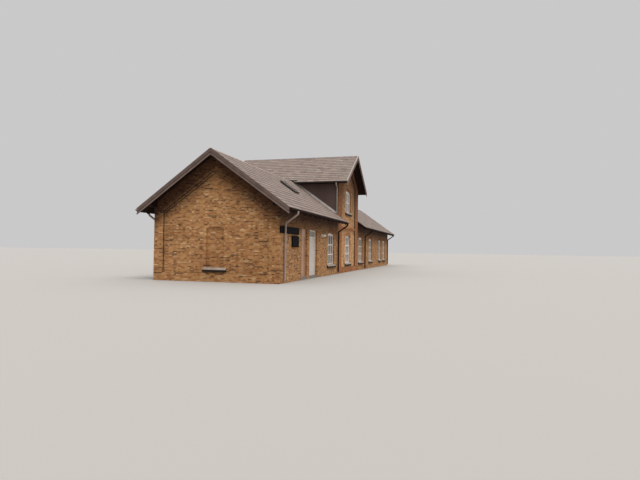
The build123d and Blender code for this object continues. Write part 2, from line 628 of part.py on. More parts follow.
def window_glass(window):
    """Add the sheet that lies against the inner face of a frame."""
    outer = window.face + window.inward * (FRAME_SETBACK + FRAME_DEPTH)
    half = (WINDOW_WIDTH - FRAME_WIDTH) / 2
    box_between((window.x - half, window.x + half), (outer, outer + window.inward * GLASS),
                (window.sill + FRAME_WIDTH / 2, window.sill + window.height - WINDOW_RISE))


def sill_nose(face, inward, level):
    """List the corners of a sill's section before the wall, as (through, height) points."""
    top, nose = level + SILL_TOP, face - inward * SILL_PROUD
    return [(face, top), (nose, top - SILL_FALL), (nose, top - SILL_FALL - SILL_NOSE),
            (face, top - SILL_FALL - SILL_NOSE)]


for label, windows in (("near", near_front_windows + near_rear_windows),
                       ("block", block_front_windows + block_rear_windows),
                       ("far", far_front_windows + far_rear_windows)):
    with BuildPart() as frames:
        for window in windows:
            window_frame(window)
    save(frames, f"{label}_window_frames")
    with BuildPart() as glass:
        for window in windows:
            window_glass(window)
    save(glass, f"{label}_window_glass")

with BuildPart() as window_sills:
    for window in (near_front_windows + near_rear_windows + block_front_windows + block_rear_windows
                   + far_front_windows + far_rear_windows):
        half = WINDOW_WIDTH / 2
        box_between((window.x - half, window.x + half),
                    (window.face, window.face + window.inward * FRAME_SETBACK),
                    (window.sill, window.sill + SILL_TOP))
        along_x(sill_nose(window.face, window.inward, window.sill),
                window.x - half - SILL_HORN, window.x + half + SILL_HORN)
    for face, inward in ((X_NEAR + RELIEF, 1), (X_END - RELIEF, -1)):
        half = BLIND_WINDOW_WIDTH / 2
        box_between((face, face + inward * BLIND_WINDOW_DEPTH), (Y_RIDGE - half, Y_RIDGE + half),
                    (WINDOW_SILL, WINDOW_SILL + SILL_TOP))
        along_y(sill_nose(face, inward, WINDOW_SILL), Y_RIDGE - half - SILL_HORN, Y_RIDGE + half + SILL_HORN)
save(window_sills, "window_sills")

# Boards and lamp on the platform wall

with BuildPart() as wall_boards:
    for board, (across, level) in ((NAME_BOARD, NAME_BOARD_AT), (NOTICE_BOARD, NOTICE_BOARD_AT)):
        width, height, depth = board
        middle = X_NEAR + across
        box_between((middle - width / 2, middle + width / 2), (Y_FRONT - depth, Y_FRONT),
                    (level - height / 2, level + height / 2))
save(wall_boards, "wall_boards")

with BuildPart() as wall_lamp:
    width, depth, height = LAMP_PLATE
    middle = (MAIN_RIGHT + NEAR_WINDOW_X - WINDOW_WIDTH / 2) / 2
    box_between((middle - width / 2, middle + width / 2), (Y_FRONT - depth, Y_FRONT),
                (LAMP_LEVEL - height / 2, LAMP_LEVEL + height / 2))
    with Locations((middle, Y_FRONT - depth - LAMP_RADIUS, LAMP_LEVEL)):
        Cylinder(LAMP_RADIUS, LAMP_LENGTH, rotation=(0, 90, 0))
        Box(LAMP_LENGTH, 2 * LAMP_RADIUS, LAMP_RADIUS)
save(wall_lamp, "wall_lamp")

# Doors


def door_frame(left, right, overlight):
    """Build the two jambs and the head of a doorway and, under an overlight, the transom."""
    depth = (DOOR_FRONT, DOOR_BACK)
    with BuildPart() as frame:
        box_between((left, right), depth, (FLOOR_LEVEL, DOOR_HEAD))
        box_between((left + JAMB, right - JAMB), depth, (FLOOR_LEVEL, LEAF_TOP + LEAF_GAP), Mode.SUBTRACT)
        if overlight:
            box_between((left + JAMB, right - JAMB), depth, (LEAF_TOP + LEAF_GAP + TRANSOM, DOOR_HEAD - JAMB),
                        Mode.SUBTRACT)
    return frame


save(door_frame(MAIN_LEFT, MAIN_RIGHT, True), "main_door_frame")
save(door_frame(SIDE_LEFT, SIDE_RIGHT, False), "side_door_frame")

with BuildPart() as overlight_glass:
    box_between((MAIN_LEFT + JAMB / 2, MAIN_RIGHT - JAMB / 2), (DOOR_BACK, DOOR_BACK + GLASS),
                (LEAF_TOP + LEAF_GAP + TRANSOM / 2, DOOR_HEAD - JAMB / 2))
save(overlight_glass, "main_door_overlight")


def door_leaf(hinge_x, direction, width):
    """Build a leaf that hangs at hinge_x and reaches along direction, with a lever on both faces."""
    free_x = hinge_x + direction * width
    spindle = free_x - direction * HANDLE_BACKSET
    front = DOOR_BACK - LEAF
    with BuildPart() as leaf:
        box_between((hinge_x, free_x), (front, DOOR_BACK), (FLOOR_LEVEL + LEAF_GAP, LEAF_TOP))
        with Locations([(hinge_x, DOOR_BACK, height) for height in KNUCKLE_HEIGHTS]):
            Cylinder(LEAF_GAP - KNUCKLE_GAP, KNUCKLE_LENGTH)
        for face, outward in ((front, -1), (DOOR_BACK, 1)):
            tip = face + outward * HANDLE_REACH
            with BuildSketch(Plane(origin=(spindle, face, HANDLE_HEIGHT), z_dir=(0, outward, 0))):
                Circle(HANDLE_RADIUS)
            extrude(amount=HANDLE_REACH)
            box_between((spindle + direction * HANDLE_RADIUS, spindle - direction * HANDLE_LENGTH),
                        (tip - outward * 2 * HANDLE_RADIUS, tip),
                        (HANDLE_HEIGHT - HANDLE_RADIUS, HANDLE_HEIGHT + HANDLE_RADIUS))
    return leaf


leaf_inset = JAMB + LEAF_GAP
main_leaf = (MAIN_DOOR_WIDTH - 2 * leaf_inset - MEETING_GAP) / 2
save(door_leaf(MAIN_LEFT + leaf_inset, 1, main_leaf), "main_door_left_leaf")
save(door_leaf(MAIN_RIGHT - leaf_inset, -1, main_leaf), "main_door_right_leaf")
save(door_leaf(SIDE_LEFT + leaf_inset, 1, SIDE_DOOR_WIDTH - 2 * leaf_inset), "side_door_leaf")
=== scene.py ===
# %% [markdown]
# # A small-town railway station
#
# The CAD model holds the walls, roofs, frames and doors at their real size. This lesson gives
# them the surfaces of the real building: yellow stock brick, weathered slates, clay ridge tiles,
# painted timber, zinc and glass. Every length is in metres, in the CAD model's own frame: +X runs
# along the building, away from its near gable, the long front faces -Y, and z = 0 is the ground.

# %% Load the CAD model
import json
import math
import random

import bmesh
import bpy
from mathutils import Matrix, Vector

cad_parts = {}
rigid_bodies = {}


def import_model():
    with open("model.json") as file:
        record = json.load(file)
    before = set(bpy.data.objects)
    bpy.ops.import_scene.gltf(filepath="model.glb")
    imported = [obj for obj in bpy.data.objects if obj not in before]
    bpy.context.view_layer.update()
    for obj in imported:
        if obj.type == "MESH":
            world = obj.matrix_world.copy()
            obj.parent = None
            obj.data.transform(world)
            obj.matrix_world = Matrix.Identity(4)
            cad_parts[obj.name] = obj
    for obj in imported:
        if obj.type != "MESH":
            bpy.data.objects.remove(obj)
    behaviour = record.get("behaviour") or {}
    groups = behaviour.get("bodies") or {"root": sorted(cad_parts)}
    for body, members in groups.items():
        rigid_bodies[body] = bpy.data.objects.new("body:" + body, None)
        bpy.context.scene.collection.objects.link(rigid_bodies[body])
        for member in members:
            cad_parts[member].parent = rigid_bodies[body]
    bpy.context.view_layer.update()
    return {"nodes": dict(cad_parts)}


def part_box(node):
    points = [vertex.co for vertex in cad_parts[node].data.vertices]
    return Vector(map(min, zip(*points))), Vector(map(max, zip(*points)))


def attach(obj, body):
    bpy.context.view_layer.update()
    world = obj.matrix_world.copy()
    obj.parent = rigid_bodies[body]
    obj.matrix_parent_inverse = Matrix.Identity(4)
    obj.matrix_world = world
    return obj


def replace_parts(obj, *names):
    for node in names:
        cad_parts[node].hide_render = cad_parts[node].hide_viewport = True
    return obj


for leftover in list(bpy.context.scene.objects):
    bpy.data.objects.remove(leftover, do_unlink=True)
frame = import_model()
nodes = frame["nodes"]

# %% [markdown]
# ## The building's main lines
#
# A dressed building has to follow the built one. So the ridge lines, wall faces and corners are
# read from the CAD nodes' boxes, and only what a box can't tell, such as the two roof pitches, is
# written down again.

# %% Main lines
WING_PITCH = math.radians(35.5)
BLOCK_PITCH = math.radians(33.1)
WALL = 0.38
RELIEF = 0.065                 # depth of the sunk panels in the gables
VERGE_BOARDS = 0.05            # bargeboards, outside the roof slabs

near_wall, far_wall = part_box("near_gable_wall"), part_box("far_gable_wall")
front_gable, rear_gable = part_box("block_front_wall"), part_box("block_rear_wall")
x_near, x_end = near_wall[0].x, far_wall[1].x
x_block, x_far = front_gable[0].x, front_gable[1].x
block_axis = (x_block + x_far) / 2
y_front, y_rear = near_wall[0].y, near_wall[1].y
y_block_rear = rear_gable[1].y
near_slab, far_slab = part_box("near_roof_front"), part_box("far_roof_front")
block_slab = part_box("block_roof_near")
y_ridge, wing_ridge = near_slab[1].y, near_slab[1].z
block_ridge = block_slab[1].z
wing_half = y_ridge - near_slab[0].y
block_half = block_axis - block_slab[0].x
wing_eave = wing_ridge - wing_half * math.tan(WING_PITCH)
block_eave = block_ridge - block_half * math.tan(BLOCK_PITCH)
print("ridges", round(wing_ridge, 3), round(block_ridge, 3))
print("eaves", round(wing_eave, 3), round(block_eave, 3))

# %% [markdown]
# ## Where the windows are
#
# Each window is one opening 1.7 m wide under a segmental arch. The list gives its middle along
# the wall, its sill, its crown, its rows of panes, the face of the brickwork round it, and which
# way is outside.

# %% Window plan
WINDOW_WIDTH, WINDOW_RISE = 1.7, 0.095
WINDOW_SILL, WINDOW_CROWN, WINDOW_ROWS = 0.65, 2.71, 3
UPPER_SILL, UPPER_CROWN, UPPER_ROWS = 4.385, 6.03, 2
FROM_BLOCK, FROM_END, NEAR_INSET = (1.3, 6.0), (5.6, 2.8), 1.89
far_xs = [x_far + inset for inset in FROM_BLOCK] + [x_end - inset for inset in FROM_END]
near_xs = [x_near + NEAR_INSET, (x_near + x_block) / 2, x_block - NEAR_INSET]
lower = (WINDOW_SILL, WINDOW_CROWN, WINDOW_ROWS)
upper = (UPPER_SILL, UPPER_CROWN, UPPER_ROWS)
windows = {
    "near": [(near_xs[2], *lower, y_front, -1)] + [(x, *lower, y_rear, 1) for x in near_xs],
    "block": [(block_axis, *level, y_front + RELIEF, -1) for level in (lower, upper)]
    + [(block_axis, *level, y_block_rear - RELIEF, 1) for level in (lower, upper)],
    "far": [(x, *lower, y, side) for x in far_xs for y, side in ((y_front, -1), (y_rear, 1))],
}
print("windows", {part: len(found) for part, found in windows.items()})

# %% [markdown]
# ## Helpers for materials
#
# Paint charts and photo editors give sRGB colours, and Blender's shaders work in linear light, so
# one function turns a hex value over. Another adds a node with its settings and links, and a third
# starts a material that reads Object coordinates, which stay put on a piece from every side.

# %% Helpers for materials
def from_hex(text):
    """A linear colour from an sRGB hex value."""
    channels = [int(text[i:i + 2], 16) / 255 for i in (1, 3, 5)]
    linear = [c / 12.92 if c <= 0.04045 else ((c + 0.055) / 1.055) ** 2.4 for c in channels]
    return (*linear, 1.0)


def add_node(tree, kind, inputs=None, **settings):
    """A new node, its settings made and its inputs linked to sockets or set to values."""
    node = tree.nodes.new(kind)
    for name, value in settings.items():
        setattr(node, name, value)
    for key, value in (inputs or {}).items():
        if isinstance(value, bpy.types.NodeSocket):
            tree.links.new(value, node.inputs[key])
        else:
            node.inputs[key].default_value = value
    return node


def start_finish(name, specular):
    """A new material: itself, its tree, its surface shader and its Object coordinates."""
    material = bpy.data.materials.new(name)
    material.use_nodes = True
    tree = material.node_tree
    surface = tree.nodes["Principled BSDF"]
    surface.inputs["Specular IOR Level"].default_value = specular
    return material, tree, surface, add_node(tree, "ShaderNodeTexCoord").outputs["Object"]


def fill_ramp(node, colours):
    """Put colours on a ramp node's ramp, from (place, hex) pairs."""
    first, last = node.color_ramp.elements
    for end, (position, colour) in ((first, colours[0]), (last, colours[-1])):
        end.position = position
        end.color = from_hex(colour)
    for position, colour in colours[1:-1]:
        node.color_ramp.elements.new(position).color = from_hex(colour)


print("middle grey is", round(from_hex("#808080")[0], 3), "in linear light")

# %% [markdown]
# ## Helpers for pieces
#
# A new piece starts as a bmesh, Blender's mesh for editing in a script. Most of this building is
# straight bars, so the main helper is a box between two corners, and a rim is four such bars. A
# finished piece stays at the origin with its place in its mesh, and rides on a body of the CAD
# model.

# %% Helpers for pieces
SINK = 0.001                   # how far a thin bar sinks into what it lies on


def mesh_from(bm, name):
    """A mesh made of a bmesh, which is then freed."""
    mesh = bpy.data.meshes.new(name)
    bm.to_mesh(mesh)
    bm.free()
    return mesh


def piece_from(bm, name, finish, body="building"):
    """A piece made of a bmesh, its faces turned outwards, riding on a CAD body."""
    bmesh.ops.recalc_face_normals(bm, faces=bm.faces)
    mesh = mesh_from(bm, name)
    mesh.materials.append(finish)
    piece = bpy.data.objects.new(name, mesh)
    bpy.context.scene.collection.objects.link(piece)
    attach(piece, body)
    print(name, len(mesh.polygons), "faces")
    return piece


def add_box(bm, corner, opposite, place=Matrix()):
    """A straight-sided box between two opposite corners, then moved and turned by a matrix."""
    low = Vector([min(pair) for pair in zip(corner, opposite)])
    high = Vector([max(pair) for pair in zip(corner, opposite)])
    shape = Matrix.Translation((low + high) / 2) @ Matrix.Diagonal((*(high - low), 1))
    bmesh.ops.create_cube(bm, size=1, matrix=place @ shape)


def add_rim(bm, corner, opposite, bar, depths, place=Matrix()):
    """Four bars inside a rectangle, whose corners are in X and Z, between two depths in Y."""
    (left, bottom), (right, top) = corner, opposite
    for x0, z0, x1, z1 in ((left, bottom, right, bottom + bar), (left, top - bar, right, top),
                           (left, bottom + bar, left + bar, top - bar),
                           (right - bar, bottom + bar, right, top - bar)):
        add_box(bm, (x0, depths[0], z0), (x1, depths[1], z1), place)


print("thin bars sink", SINK, "m into what they lie on")

# %% [markdown]
# ## Helpers for round parts
#
# Ridge tiles, gutter straps and pipe clips are short rounds or halves of them, many times over.
# Each kind is made once, lying along X, from a cone that a plane may cut, and then it is copied.

# %% Helpers for round parts
QUARTER_X = Matrix.Rotation(math.radians(90), 4, "X")
QUARTER_Y = Matrix.Rotation(math.radians(90), 4, "Y")
QUARTER_Z = Matrix.Rotation(math.radians(90), 4, "Z")


def add_copies(bm, pattern, places):
    """Copies of one small mesh, one at each matrix."""
    for place in places:
        pattern.transform(place)
        bm.from_mesh(pattern)
        pattern.transform(place.inverted())


def cut_off(bm, point, upwards, keep_above, closed):
    """Cut a bmesh by a plane and keep one side of it, its cut closed if that is asked."""
    cut = bmesh.ops.bisect_plane(bm, geom=bm.verts[:] + bm.edges[:] + bm.faces[:], plane_co=point,
                                 plane_no=upwards, clear_inner=keep_above, clear_outer=not keep_above)
    if closed:
        edges = [item for item in cut["geom_cut"] if isinstance(item, bmesh.types.BMEdge)]
        bmesh.ops.holes_fill(bm, edges=edges)


def round_pattern(length, radius, segments, flare=0.0, wall=0.0, keep="all", level=0.0):
    """A round bar along X, or a shell with its wall outside the radius, or its upper or lower part."""
    bm = bmesh.new()
    bmesh.ops.create_cone(bm, cap_ends=not wall, segments=segments, radius1=radius + flare,
                          radius2=radius, depth=length, matrix=QUARTER_Y)
    if keep != "all":
        cut_off(bm, (0, 0, level), (0, 0, 1), keep == "upper", not wall)
    bmesh.ops.recalc_face_normals(bm, faces=bm.faces)
    if wall:
        bmesh.ops.solidify(bm, geom=bm.faces[:], thickness=-wall)
    return mesh_from(bm, "round pattern")


print("quarter turns about X, Y and Z are ready")

# %% [markdown]
# ## Brick bond
#
# Yellow stock bricks are fired from lime-rich clay, and no two come out alike: most are buff or
# ochre, some orange or cream, and a few are scorched brown. A brick is 228 x 108 x 54 mm with
# 12 mm joints, so a stretcher repeats every 240 mm, a header every 120 mm and a course every
# 66.7 mm. The Brick Texture lays English bond by itself when every second row is squashed to half
# width. Each brick's own grey from it picks a colour on a ramp, so neighbours differ as they do in
# the kiln. X + Y is the distance along a wall, because it runs on along walls of either direction.

# %% Brick bond
STRETCHER, COURSE, JOINT = 0.240, 0.0667, 0.012
FLECKS = 90.0                  # to the metre: pebbles and pores, 11 mm each


def brick_bond(tree, place, kiln_colours, mortar):
    """English bond in a ramp's colours: its colour, and its height for the bump."""
    split = add_node(tree, "ShaderNodeSeparateXYZ", {0: place})
    along = add_node(tree, "ShaderNodeMath", {0: split.outputs["X"], 1: split.outputs["Y"]},
                     operation="ADD")
    flat = add_node(tree, "ShaderNodeCombineXYZ", {"X": along.outputs[0], "Y": split.outputs["Z"]})
    bond = add_node(tree, "ShaderNodeTexBrick", {
        "Vector": flat.outputs[0], "Color1": (0, 0, 0, 1), "Color2": (1, 1, 1, 1), "Mortar": (0, 0, 0, 1),
        "Scale": 1.0, "Mortar Size": JOINT / 2, "Mortar Smooth": 0.35, "Bias": 0.0,
        "Brick Width": STRETCHER, "Row Height": COURSE}, offset=0.5, offset_frequency=2,
        squash=0.5, squash_frequency=2)
    kiln = add_node(tree, "ShaderNodeValToRGB", {0: bond.outputs["Color"]})
    fill_ramp(kiln, kiln_colours)
    fleck = add_node(tree, "ShaderNodeTexNoise", {"Vector": place, "Scale": FLECKS, "Detail": 4.0})
    flecked = add_node(tree, "ShaderNodeMix", {0: 0.35, 6: kiln.outputs[0], 7: fleck.outputs["Fac"]},
                       data_type="RGBA", blend_type="OVERLAY")
    walled = add_node(tree, "ShaderNodeMix", {0: bond.outputs["Fac"], 6: flecked.outputs[2],
                                              7: from_hex(mortar)}, data_type="RGBA")
    proud = add_node(tree, "ShaderNodeMath", {0: 1.0, 1: bond.outputs["Fac"]}, operation="SUBTRACT")
    height = add_node(tree, "ShaderNodeMath", {0: fleck.outputs["Fac"], 1: 0.25, 2: proud.outputs[0]},
                      operation="MULTIPLY_ADD")
    return walled.outputs[2], height.outputs[0]


print("a course every", COURSE, "m and a stretcher every", STRETCHER, "m")

# %% [markdown]
# ## Soot and painted shade under the roof
#
# Rain washes a wall everywhere but close under the roof, so soot stays there, and the overhang's
# shade is painted there too: the brick is much darker. How far a point is under the roof line is a
# plain sum of its coordinates: its height, and its distance from the ridge times the slope. A broad
# noise adds the patches that rain leaves.

# %% Soot and painted shade under the roof
# Dark colour of soot, and of the overhang's shade painted onto the brick.
SOOT_AND_SHADE = "#503727"
RAIN_PATCHES = 0.55            # to the metre: each is nearly 2 m wide
WING_ROOF_LINE = ("Y", y_ridge, wing_ridge, math.tan(WING_PITCH))
BLOCK_ROOF_LINE = ("X", block_axis, block_ridge, math.tan(BLOCK_PITCH))


def sooted_and_shaded(tree, place, clean, stain, roof_line, sheltered, reach):
    """A wall's colour in stained patches, with soot and painted shade that thin out between the depths of
    reach.

    The roof line is (axis across the ridge, the ridge's place on it, its height, its slope).
    """
    rain = add_node(tree, "ShaderNodeTexNoise", {"Vector": place, "Scale": RAIN_PATCHES, "Detail": 6.0,
                                                 "Roughness": 0.65})
    patches = add_node(tree, "ShaderNodeMapRange", {0: rain.outputs["Fac"], 1: 0.42, 2: 0.72,
                                                    3: 0.0, 4: 0.45})
    stained = add_node(tree, "ShaderNodeMix", {0: patches.outputs[0], 6: clean, 7: from_hex(stain)},
                       data_type="RGBA", blend_type="MULTIPLY")
    axis, middle, top, slope = roof_line
    split = add_node(tree, "ShaderNodeSeparateXYZ", {0: place})
    across = add_node(tree, "ShaderNodeMath", {0: split.outputs[axis], 1: middle}, operation="SUBTRACT")
    aside = add_node(tree, "ShaderNodeMath", {0: across.outputs[0]}, operation="ABSOLUTE")
    risen = add_node(tree, "ShaderNodeMath", {0: aside.outputs[0], 1: slope, 2: split.outputs["Z"]},
                     operation="MULTIPLY_ADD")
    # How much soot and painted shade a point takes, from how far it is under the roof line.
    shelter = add_node(tree, "ShaderNodeMapRange", {0: risen.outputs[0], 1: top - reach[1],
                                                    2: top - reach[0], 3: 0.0, 4: sheltered})
    darkened = add_node(tree, "ShaderNodeMix", {0: shelter.outputs[0], 6: stained.outputs[2],
                                                 7: from_hex(SOOT_AND_SHADE)}, data_type="RGBA", blend_type="MULTIPLY")
    return darkened.outputs[2]


# The soot and painted shade darken the walls below these ridge heights.
print("soot below", round(wing_ridge, 2), "m on the wings and", round(block_ridge, 2), "m on the block")

# %% [markdown]
# ## Brick finishes
#
# One function joins the bond with the soot and painted shade. The building has four kinds of
# brickwork, all of hand moulded clay with a sanded face, so all are matt and rough: they differ in
# how hard they were fired and in how much soot and painted shade they take. The darkening ends 5 m
# down on the tall block, 1.7 m on the wings.

# %% Brick finishes
STAIN = "#A88A6C"
# On the block the soot and painted shade reach 5 m down under its roof.
BLOCK_SOOT_AND_SHADE = {"roof_line": BLOCK_ROOF_LINE, "sheltered": 0.8, "reach": (1.0, 5.0)}


def brick_finish(name, kiln_colours, mortar, stain=STAIN, roof_line=WING_ROOF_LINE, sheltered=0.9,
                 reach=(0.7, 1.7)):
    """Brickwork in colours given as (place, hex) pairs, darkened by soot and painted shade under a roof line.
    """
    material, tree, surface, place = start_finish(name, 0.3)
    surface.inputs["Roughness"].default_value = 0.9
    clean, height = brick_bond(tree, place, kiln_colours, mortar)
    colour = sooted_and_shaded(tree, place, clean, stain, roof_line, sheltered, reach)
    relief = add_node(tree, "ShaderNodeBump", {"Height": height, "Strength": 0.8, "Distance": 0.006})
    tree.links.new(colour, surface.inputs["Base Color"])
    tree.links.new(relief.outputs[0], surface.inputs["Normal"])
    return material


# Clamp-fired stock brick in pale lime mortar: a speckled buff wall with brown and cream bricks.
stock_brick = brick_finish("yellow stock brick in lime mortar",
                           [(0.0, "#5A3820"), (0.12, "#8C5630"), (0.3, "#AC713D"), (0.5, "#B8814B"),
                            (0.7, "#C9955C"), (0.86, "#9F5D2F"), (1.0, "#DDB888")], "#CDB28C")
# The same clay, fired lighter, for the middle block: a paler and yellower wall low down.
block_brick = brick_finish("yellow stock brick of the middle block",
                           [(0.0, "#6B4429"), (0.12, "#A36A41"), (0.3, "#C2854F"), (0.5, "#CF9760"),
                            (0.7, "#DEAC72"), (0.86, "#B46E3B"), (1.0, "#EBCB9C")], "#D6BE9B", **BLOCK_SOOT_AND_SHADE)
# Browner bricks picked out for the corner strips: they frame the panels in a warmer tone.
strip_brick = brick_finish("browned stock brick of the corner strips",
                           [(0.0, "#774A2C"), (0.3, "#A6673C"), (0.6, "#BE7946"), (1.0, "#9C5D36")],
                           "#B48A63", "#9A8068", BLOCK_ROOF_LINE, 0.55, (1.0, 5.0))
# Over-fired bricks with sooty joints, nearly black; on the returns and corbelled corners of the panels this
# colour is painted shade, which draws their edges.
burnt_brick_and_painted_shade = brick_finish("dark burnt brick and painted shade of the panel edges",
                           [(0.0, "#281A13"), (0.5, "#35241A"), (1.0, "#2C1D15")], "#3A3028", "#8A7462")
print(stock_brick.name, block_brick.name, strip_brick.name, burnt_brick_and_painted_shade.name, sep=", ")

# %% [markdown]
# ## Mottled finishes
#
# Paint, plaster, zinc, clay and stone are all one colour that isn't quite even: rain, hands and
# sun change it in patches, and the surface has a grain of its own. So one function makes them all:
# two close colours mixed by a broad noise, a fine noise for the relief, and the gloss of the real
# thing. The grain can be stretched, which makes brush marks or wood grain of it. Grain and relief
# are in millimetres, so the finest show in close views only. The patches are counted to the
# metre: 3 of them means that each is about 333 mm wide.

# %% Mottled finishes
def mottled(name, colour, patch, roughness, grain_mm, relief_mm, patches, stretch=(1, 1, 1),
            metallic=0.0, specular=0.5):
    """A finish of one colour with so many patches of another to the metre, and a grain."""
    material, tree, surface, place = start_finish(name, specular)
    surface.inputs["Metallic"].default_value = metallic
    drawn = add_node(tree, "ShaderNodeMapping", {"Vector": place, "Scale": stretch})
    cloud = add_node(tree, "ShaderNodeTexNoise", {"Vector": drawn.outputs[0], "Scale": patches,
                                                  "Detail": 5.0, "Roughness": 0.6})
    share = add_node(tree, "ShaderNodeMapRange", {0: cloud.outputs["Fac"], 1: 0.35, 2: 0.7})
    tint = add_node(tree, "ShaderNodeMix", {0: share.outputs[0], 6: from_hex(colour), 7: from_hex(patch)},
                    data_type="RGBA")
    grain = add_node(tree, "ShaderNodeTexNoise", {"Vector": drawn.outputs[0], "Scale": 1000 / grain_mm,
                                                  "Detail": 3.0})
    gloss = add_node(tree, "ShaderNodeMapRange", {0: grain.outputs["Fac"], 3: roughness - 0.08,
                                                  4: roughness + 0.08})
    relief = add_node(tree, "ShaderNodeBump", {"Height": grain.outputs["Fac"], "Strength": 0.6,
                                               "Distance": relief_mm / 1000})
    tree.links.new(tint.outputs[2], surface.inputs["Base Color"])
    tree.links.new(gloss.outputs[0], surface.inputs["Roughness"])
    tree.links.new(relief.outputs[0], surface.inputs["Normal"])
    return material


print("one function for paint, metal, clay, stone and plaster")

# %% [markdown]
# ## Timber finishes
#
# The boards are sawn or planed pine and larch. Oil paint dulls and chalks outdoors, alkyd paint on
# the windows keeps a soft gloss, and stain lets the grain through, drawn out along the board.

# %% Timber finishes
# Brushed oil paint, years old: a dull grey-brown in soft streaks along the building.
brown_paint = mottled("brown oil paint on pine boards", "#6B574D", "#54443C", 0.6, 9, 0.8, 3.0, (0.15, 1, 1))
# The same paint made lighter on a rounded bead, as a painted highlight: a lighter line along the foot of a
# board.
highlit_bead_paint = mottled("faded brown oil paint on pine beads", "#85726A", "#6E5C54", 0.6, 9, 0.5, 3.0)
# The same paint made almost black, as painted shade under the eaves and roof slabs: no shine.
shaded_brown_paint = mottled("brown oil paint darkened as painted shade", "#2B1C17", "#1E1310", 0.85, 9, 0.8, 3.0, specular=0.1)
# Rubbed-in stain on sawn larch: matt, streaked up and down the board.
grey_boards = mottled("grey-brown stained larch boards", "#5A4640", "#483732", 0.75, 7, 1.0, 1.2,
                      (1, 1, 0.12))
# Rolled alkyd paint on planed joinery: smooth, warm white, with a soft gloss.
white_paint = mottled("white alkyd paint on pine", "#F1E8E1", "#DDD2C9", 0.45, 14, 0.3, 2.5)
# Oil rubbed into planed boards: warm, half matt, with grain along the building.
floorboards = mottled("oiled pine floorboards", "#8D6A45", "#765536", 0.5, 8, 0.4, 2.0, (0.1, 1, 1))
print("timber:", white_paint.name, "and five more")

# %% [markdown]
# ## Metal finishes
#
# Powder coat is sprayed and baked, so it is even with a fine orange peel. Bare zinc and lead lose
# their shine outdoors and cloud over in pale patches. Enamel on a pipe is smooth but dull with dust.

# %% Metal finishes
# Baked powder coat on pressed doors: clean, even and slightly glossy.
white_steel = mottled("white powder-coated steel", "#E8DFD8", "#DAD0C8", 0.4, 2.5, 0.1, 1.2)
beige_steel = mottled("beige powder-coated steel", "#CBA78E", "#BC987F", 0.42, 2.5, 0.1, 1.2)
# Rolled zinc with its grey skin: a soft metal sheen in cloudy patches.
zinc = mottled("weathered zinc sheet", "#A9A6A3", "#8C8987", 0.5, 12, 0.3, 3.0, metallic=0.7)
# Zinc in the shade of the eaves, painted dark and flat as that shade: its metal no longer shows.
shaded_zinc = mottled("zinc sheet darkened as painted shade", "#4C4440", "#393230", 0.7, 12, 0.3, 3.0, specular=0.2)
# Dipped enamel on gutters and pipes: dusty brown, or pale grey at the near corner.
brown_pipe = mottled("brown enamelled zinc", "#331E16", "#27160F", 0.7, 10, 0.2, 2.5, specular=0.12)
pale_pipe = mottled("pale grey enamelled steel", "#AC988C", "#98867B", 0.5, 10, 0.2, 2.5)
# Baked enamel on the wall boards: nearly black, with hardly a highlight.
dark_enamel = mottled("dark enamelled steel", "#0B0709", "#120D10", 0.75, 4, 0.1, 1.5, specular=0.08)
# Brush-painted steel round the roof hatch: dark grey with a little gloss.
hatch_metal = mottled("dark grey painted steel", "#2B2625", "#3A3433", 0.5, 6, 0.3, 3.0)
# Beaten sheet lead: its pale carbonate skin scatters light like chalk, so it isn't metallic here.
lead = mottled("weathered sheet lead", "#C6C0BA", "#ABA49D", 0.6, 15, 0.4, 5.0)
print("metal:", zinc.name, "and eight more")

# %% [markdown]
# ## Clay, stone, mortar and plaster
#
# All of these are porous, so they scatter light and look matt. What tells them apart is the size
# of their grain: fine specks in granite and cast stone, coarser ones in mortar and fired clay, and
# the broad marks of a trowel in plaster.

# %% Mineral finishes
# Pressed and fired clay, pale on the wings and dark on the block: matt and blotchy.
clay_ridge = mottled("weathered clay ridge tile", "#AC9A8E", "#877569", 0.85, 6, 1.0, 6.0)
dark_clay_ridge = mottled("dark clay ridge tile", "#53463F", "#3D332E", 0.85, 6, 1.0, 6.0)
# Lime mortar, rough from the trowel: grey where it is dirty, paler where it was renewed.
roof_mortar = mottled("lime mortar bedding", "#8F857B", "#746A61", 0.95, 5, 1.5, 5.0)
pale_mortar = mottled("pale lime mortar fillet", "#B3A69C", "#9C8E84", 0.9, 6, 1.0, 8.0)
# Stone dust and cement cast in a mould: an even, dry grey-beige sill.
cast_stone = mottled("cast stone", "#A8988B", "#8A7A6D", 0.85, 3, 0.6, 4.0)
# Dressed granite worn by shoes: small grey specks and a dull polish.
granite = mottled("worn granite", "#8C857E", "#6F6963", 0.7, 3, 0.5, 30.0)
# Cement ground flat: a smooth grey floor with wide, faint clouds.
screed = mottled("ground concrete screed", "#8E8A84", "#7C7771", 0.6, 4, 0.2, 1.0)
# Trowelled plaster under lime wash: a chalky off-white that lights the rooms.
plaster = mottled("lime-washed plaster", "#CFC6BB", "#BDB3A7", 0.9, 20, 0.8, 1.0)
print("mineral:", granite.name, "and seven more")

# %% [markdown]
# ## Window glass
#
# Float glass is 4 to 6 mm thick and nearly colourless. From outside, by day, a pane looks dark,
# because the room behind it is far darker than the sky, and it mirrors the sky at a low angle.
# A Principled shader with full transmission gives both, and a faint grey-green tint stands for
# years of dust. The light over the main door is etched and shows only as a pale grey-green pane.

# %% Glass
float_glass = bpy.data.materials.new("dusty float glass")
float_glass.use_nodes = True
pane = float_glass.node_tree.nodes["Principled BSDF"]
pane.inputs["Base Color"].default_value = from_hex("#6A6F6C")
pane.inputs["Roughness"].default_value = 0.04
pane.inputs["IOR"].default_value = 1.5
pane.inputs["Transmission Weight"].default_value = 1.0
# Acid leaves a velvet face that hides the room, so this glass is made as a pale matt sheet.
etched_glass = mottled("acid-etched window glass", "#9FA093", "#8E9084", 0.35, 2, 0.05, 2.0)
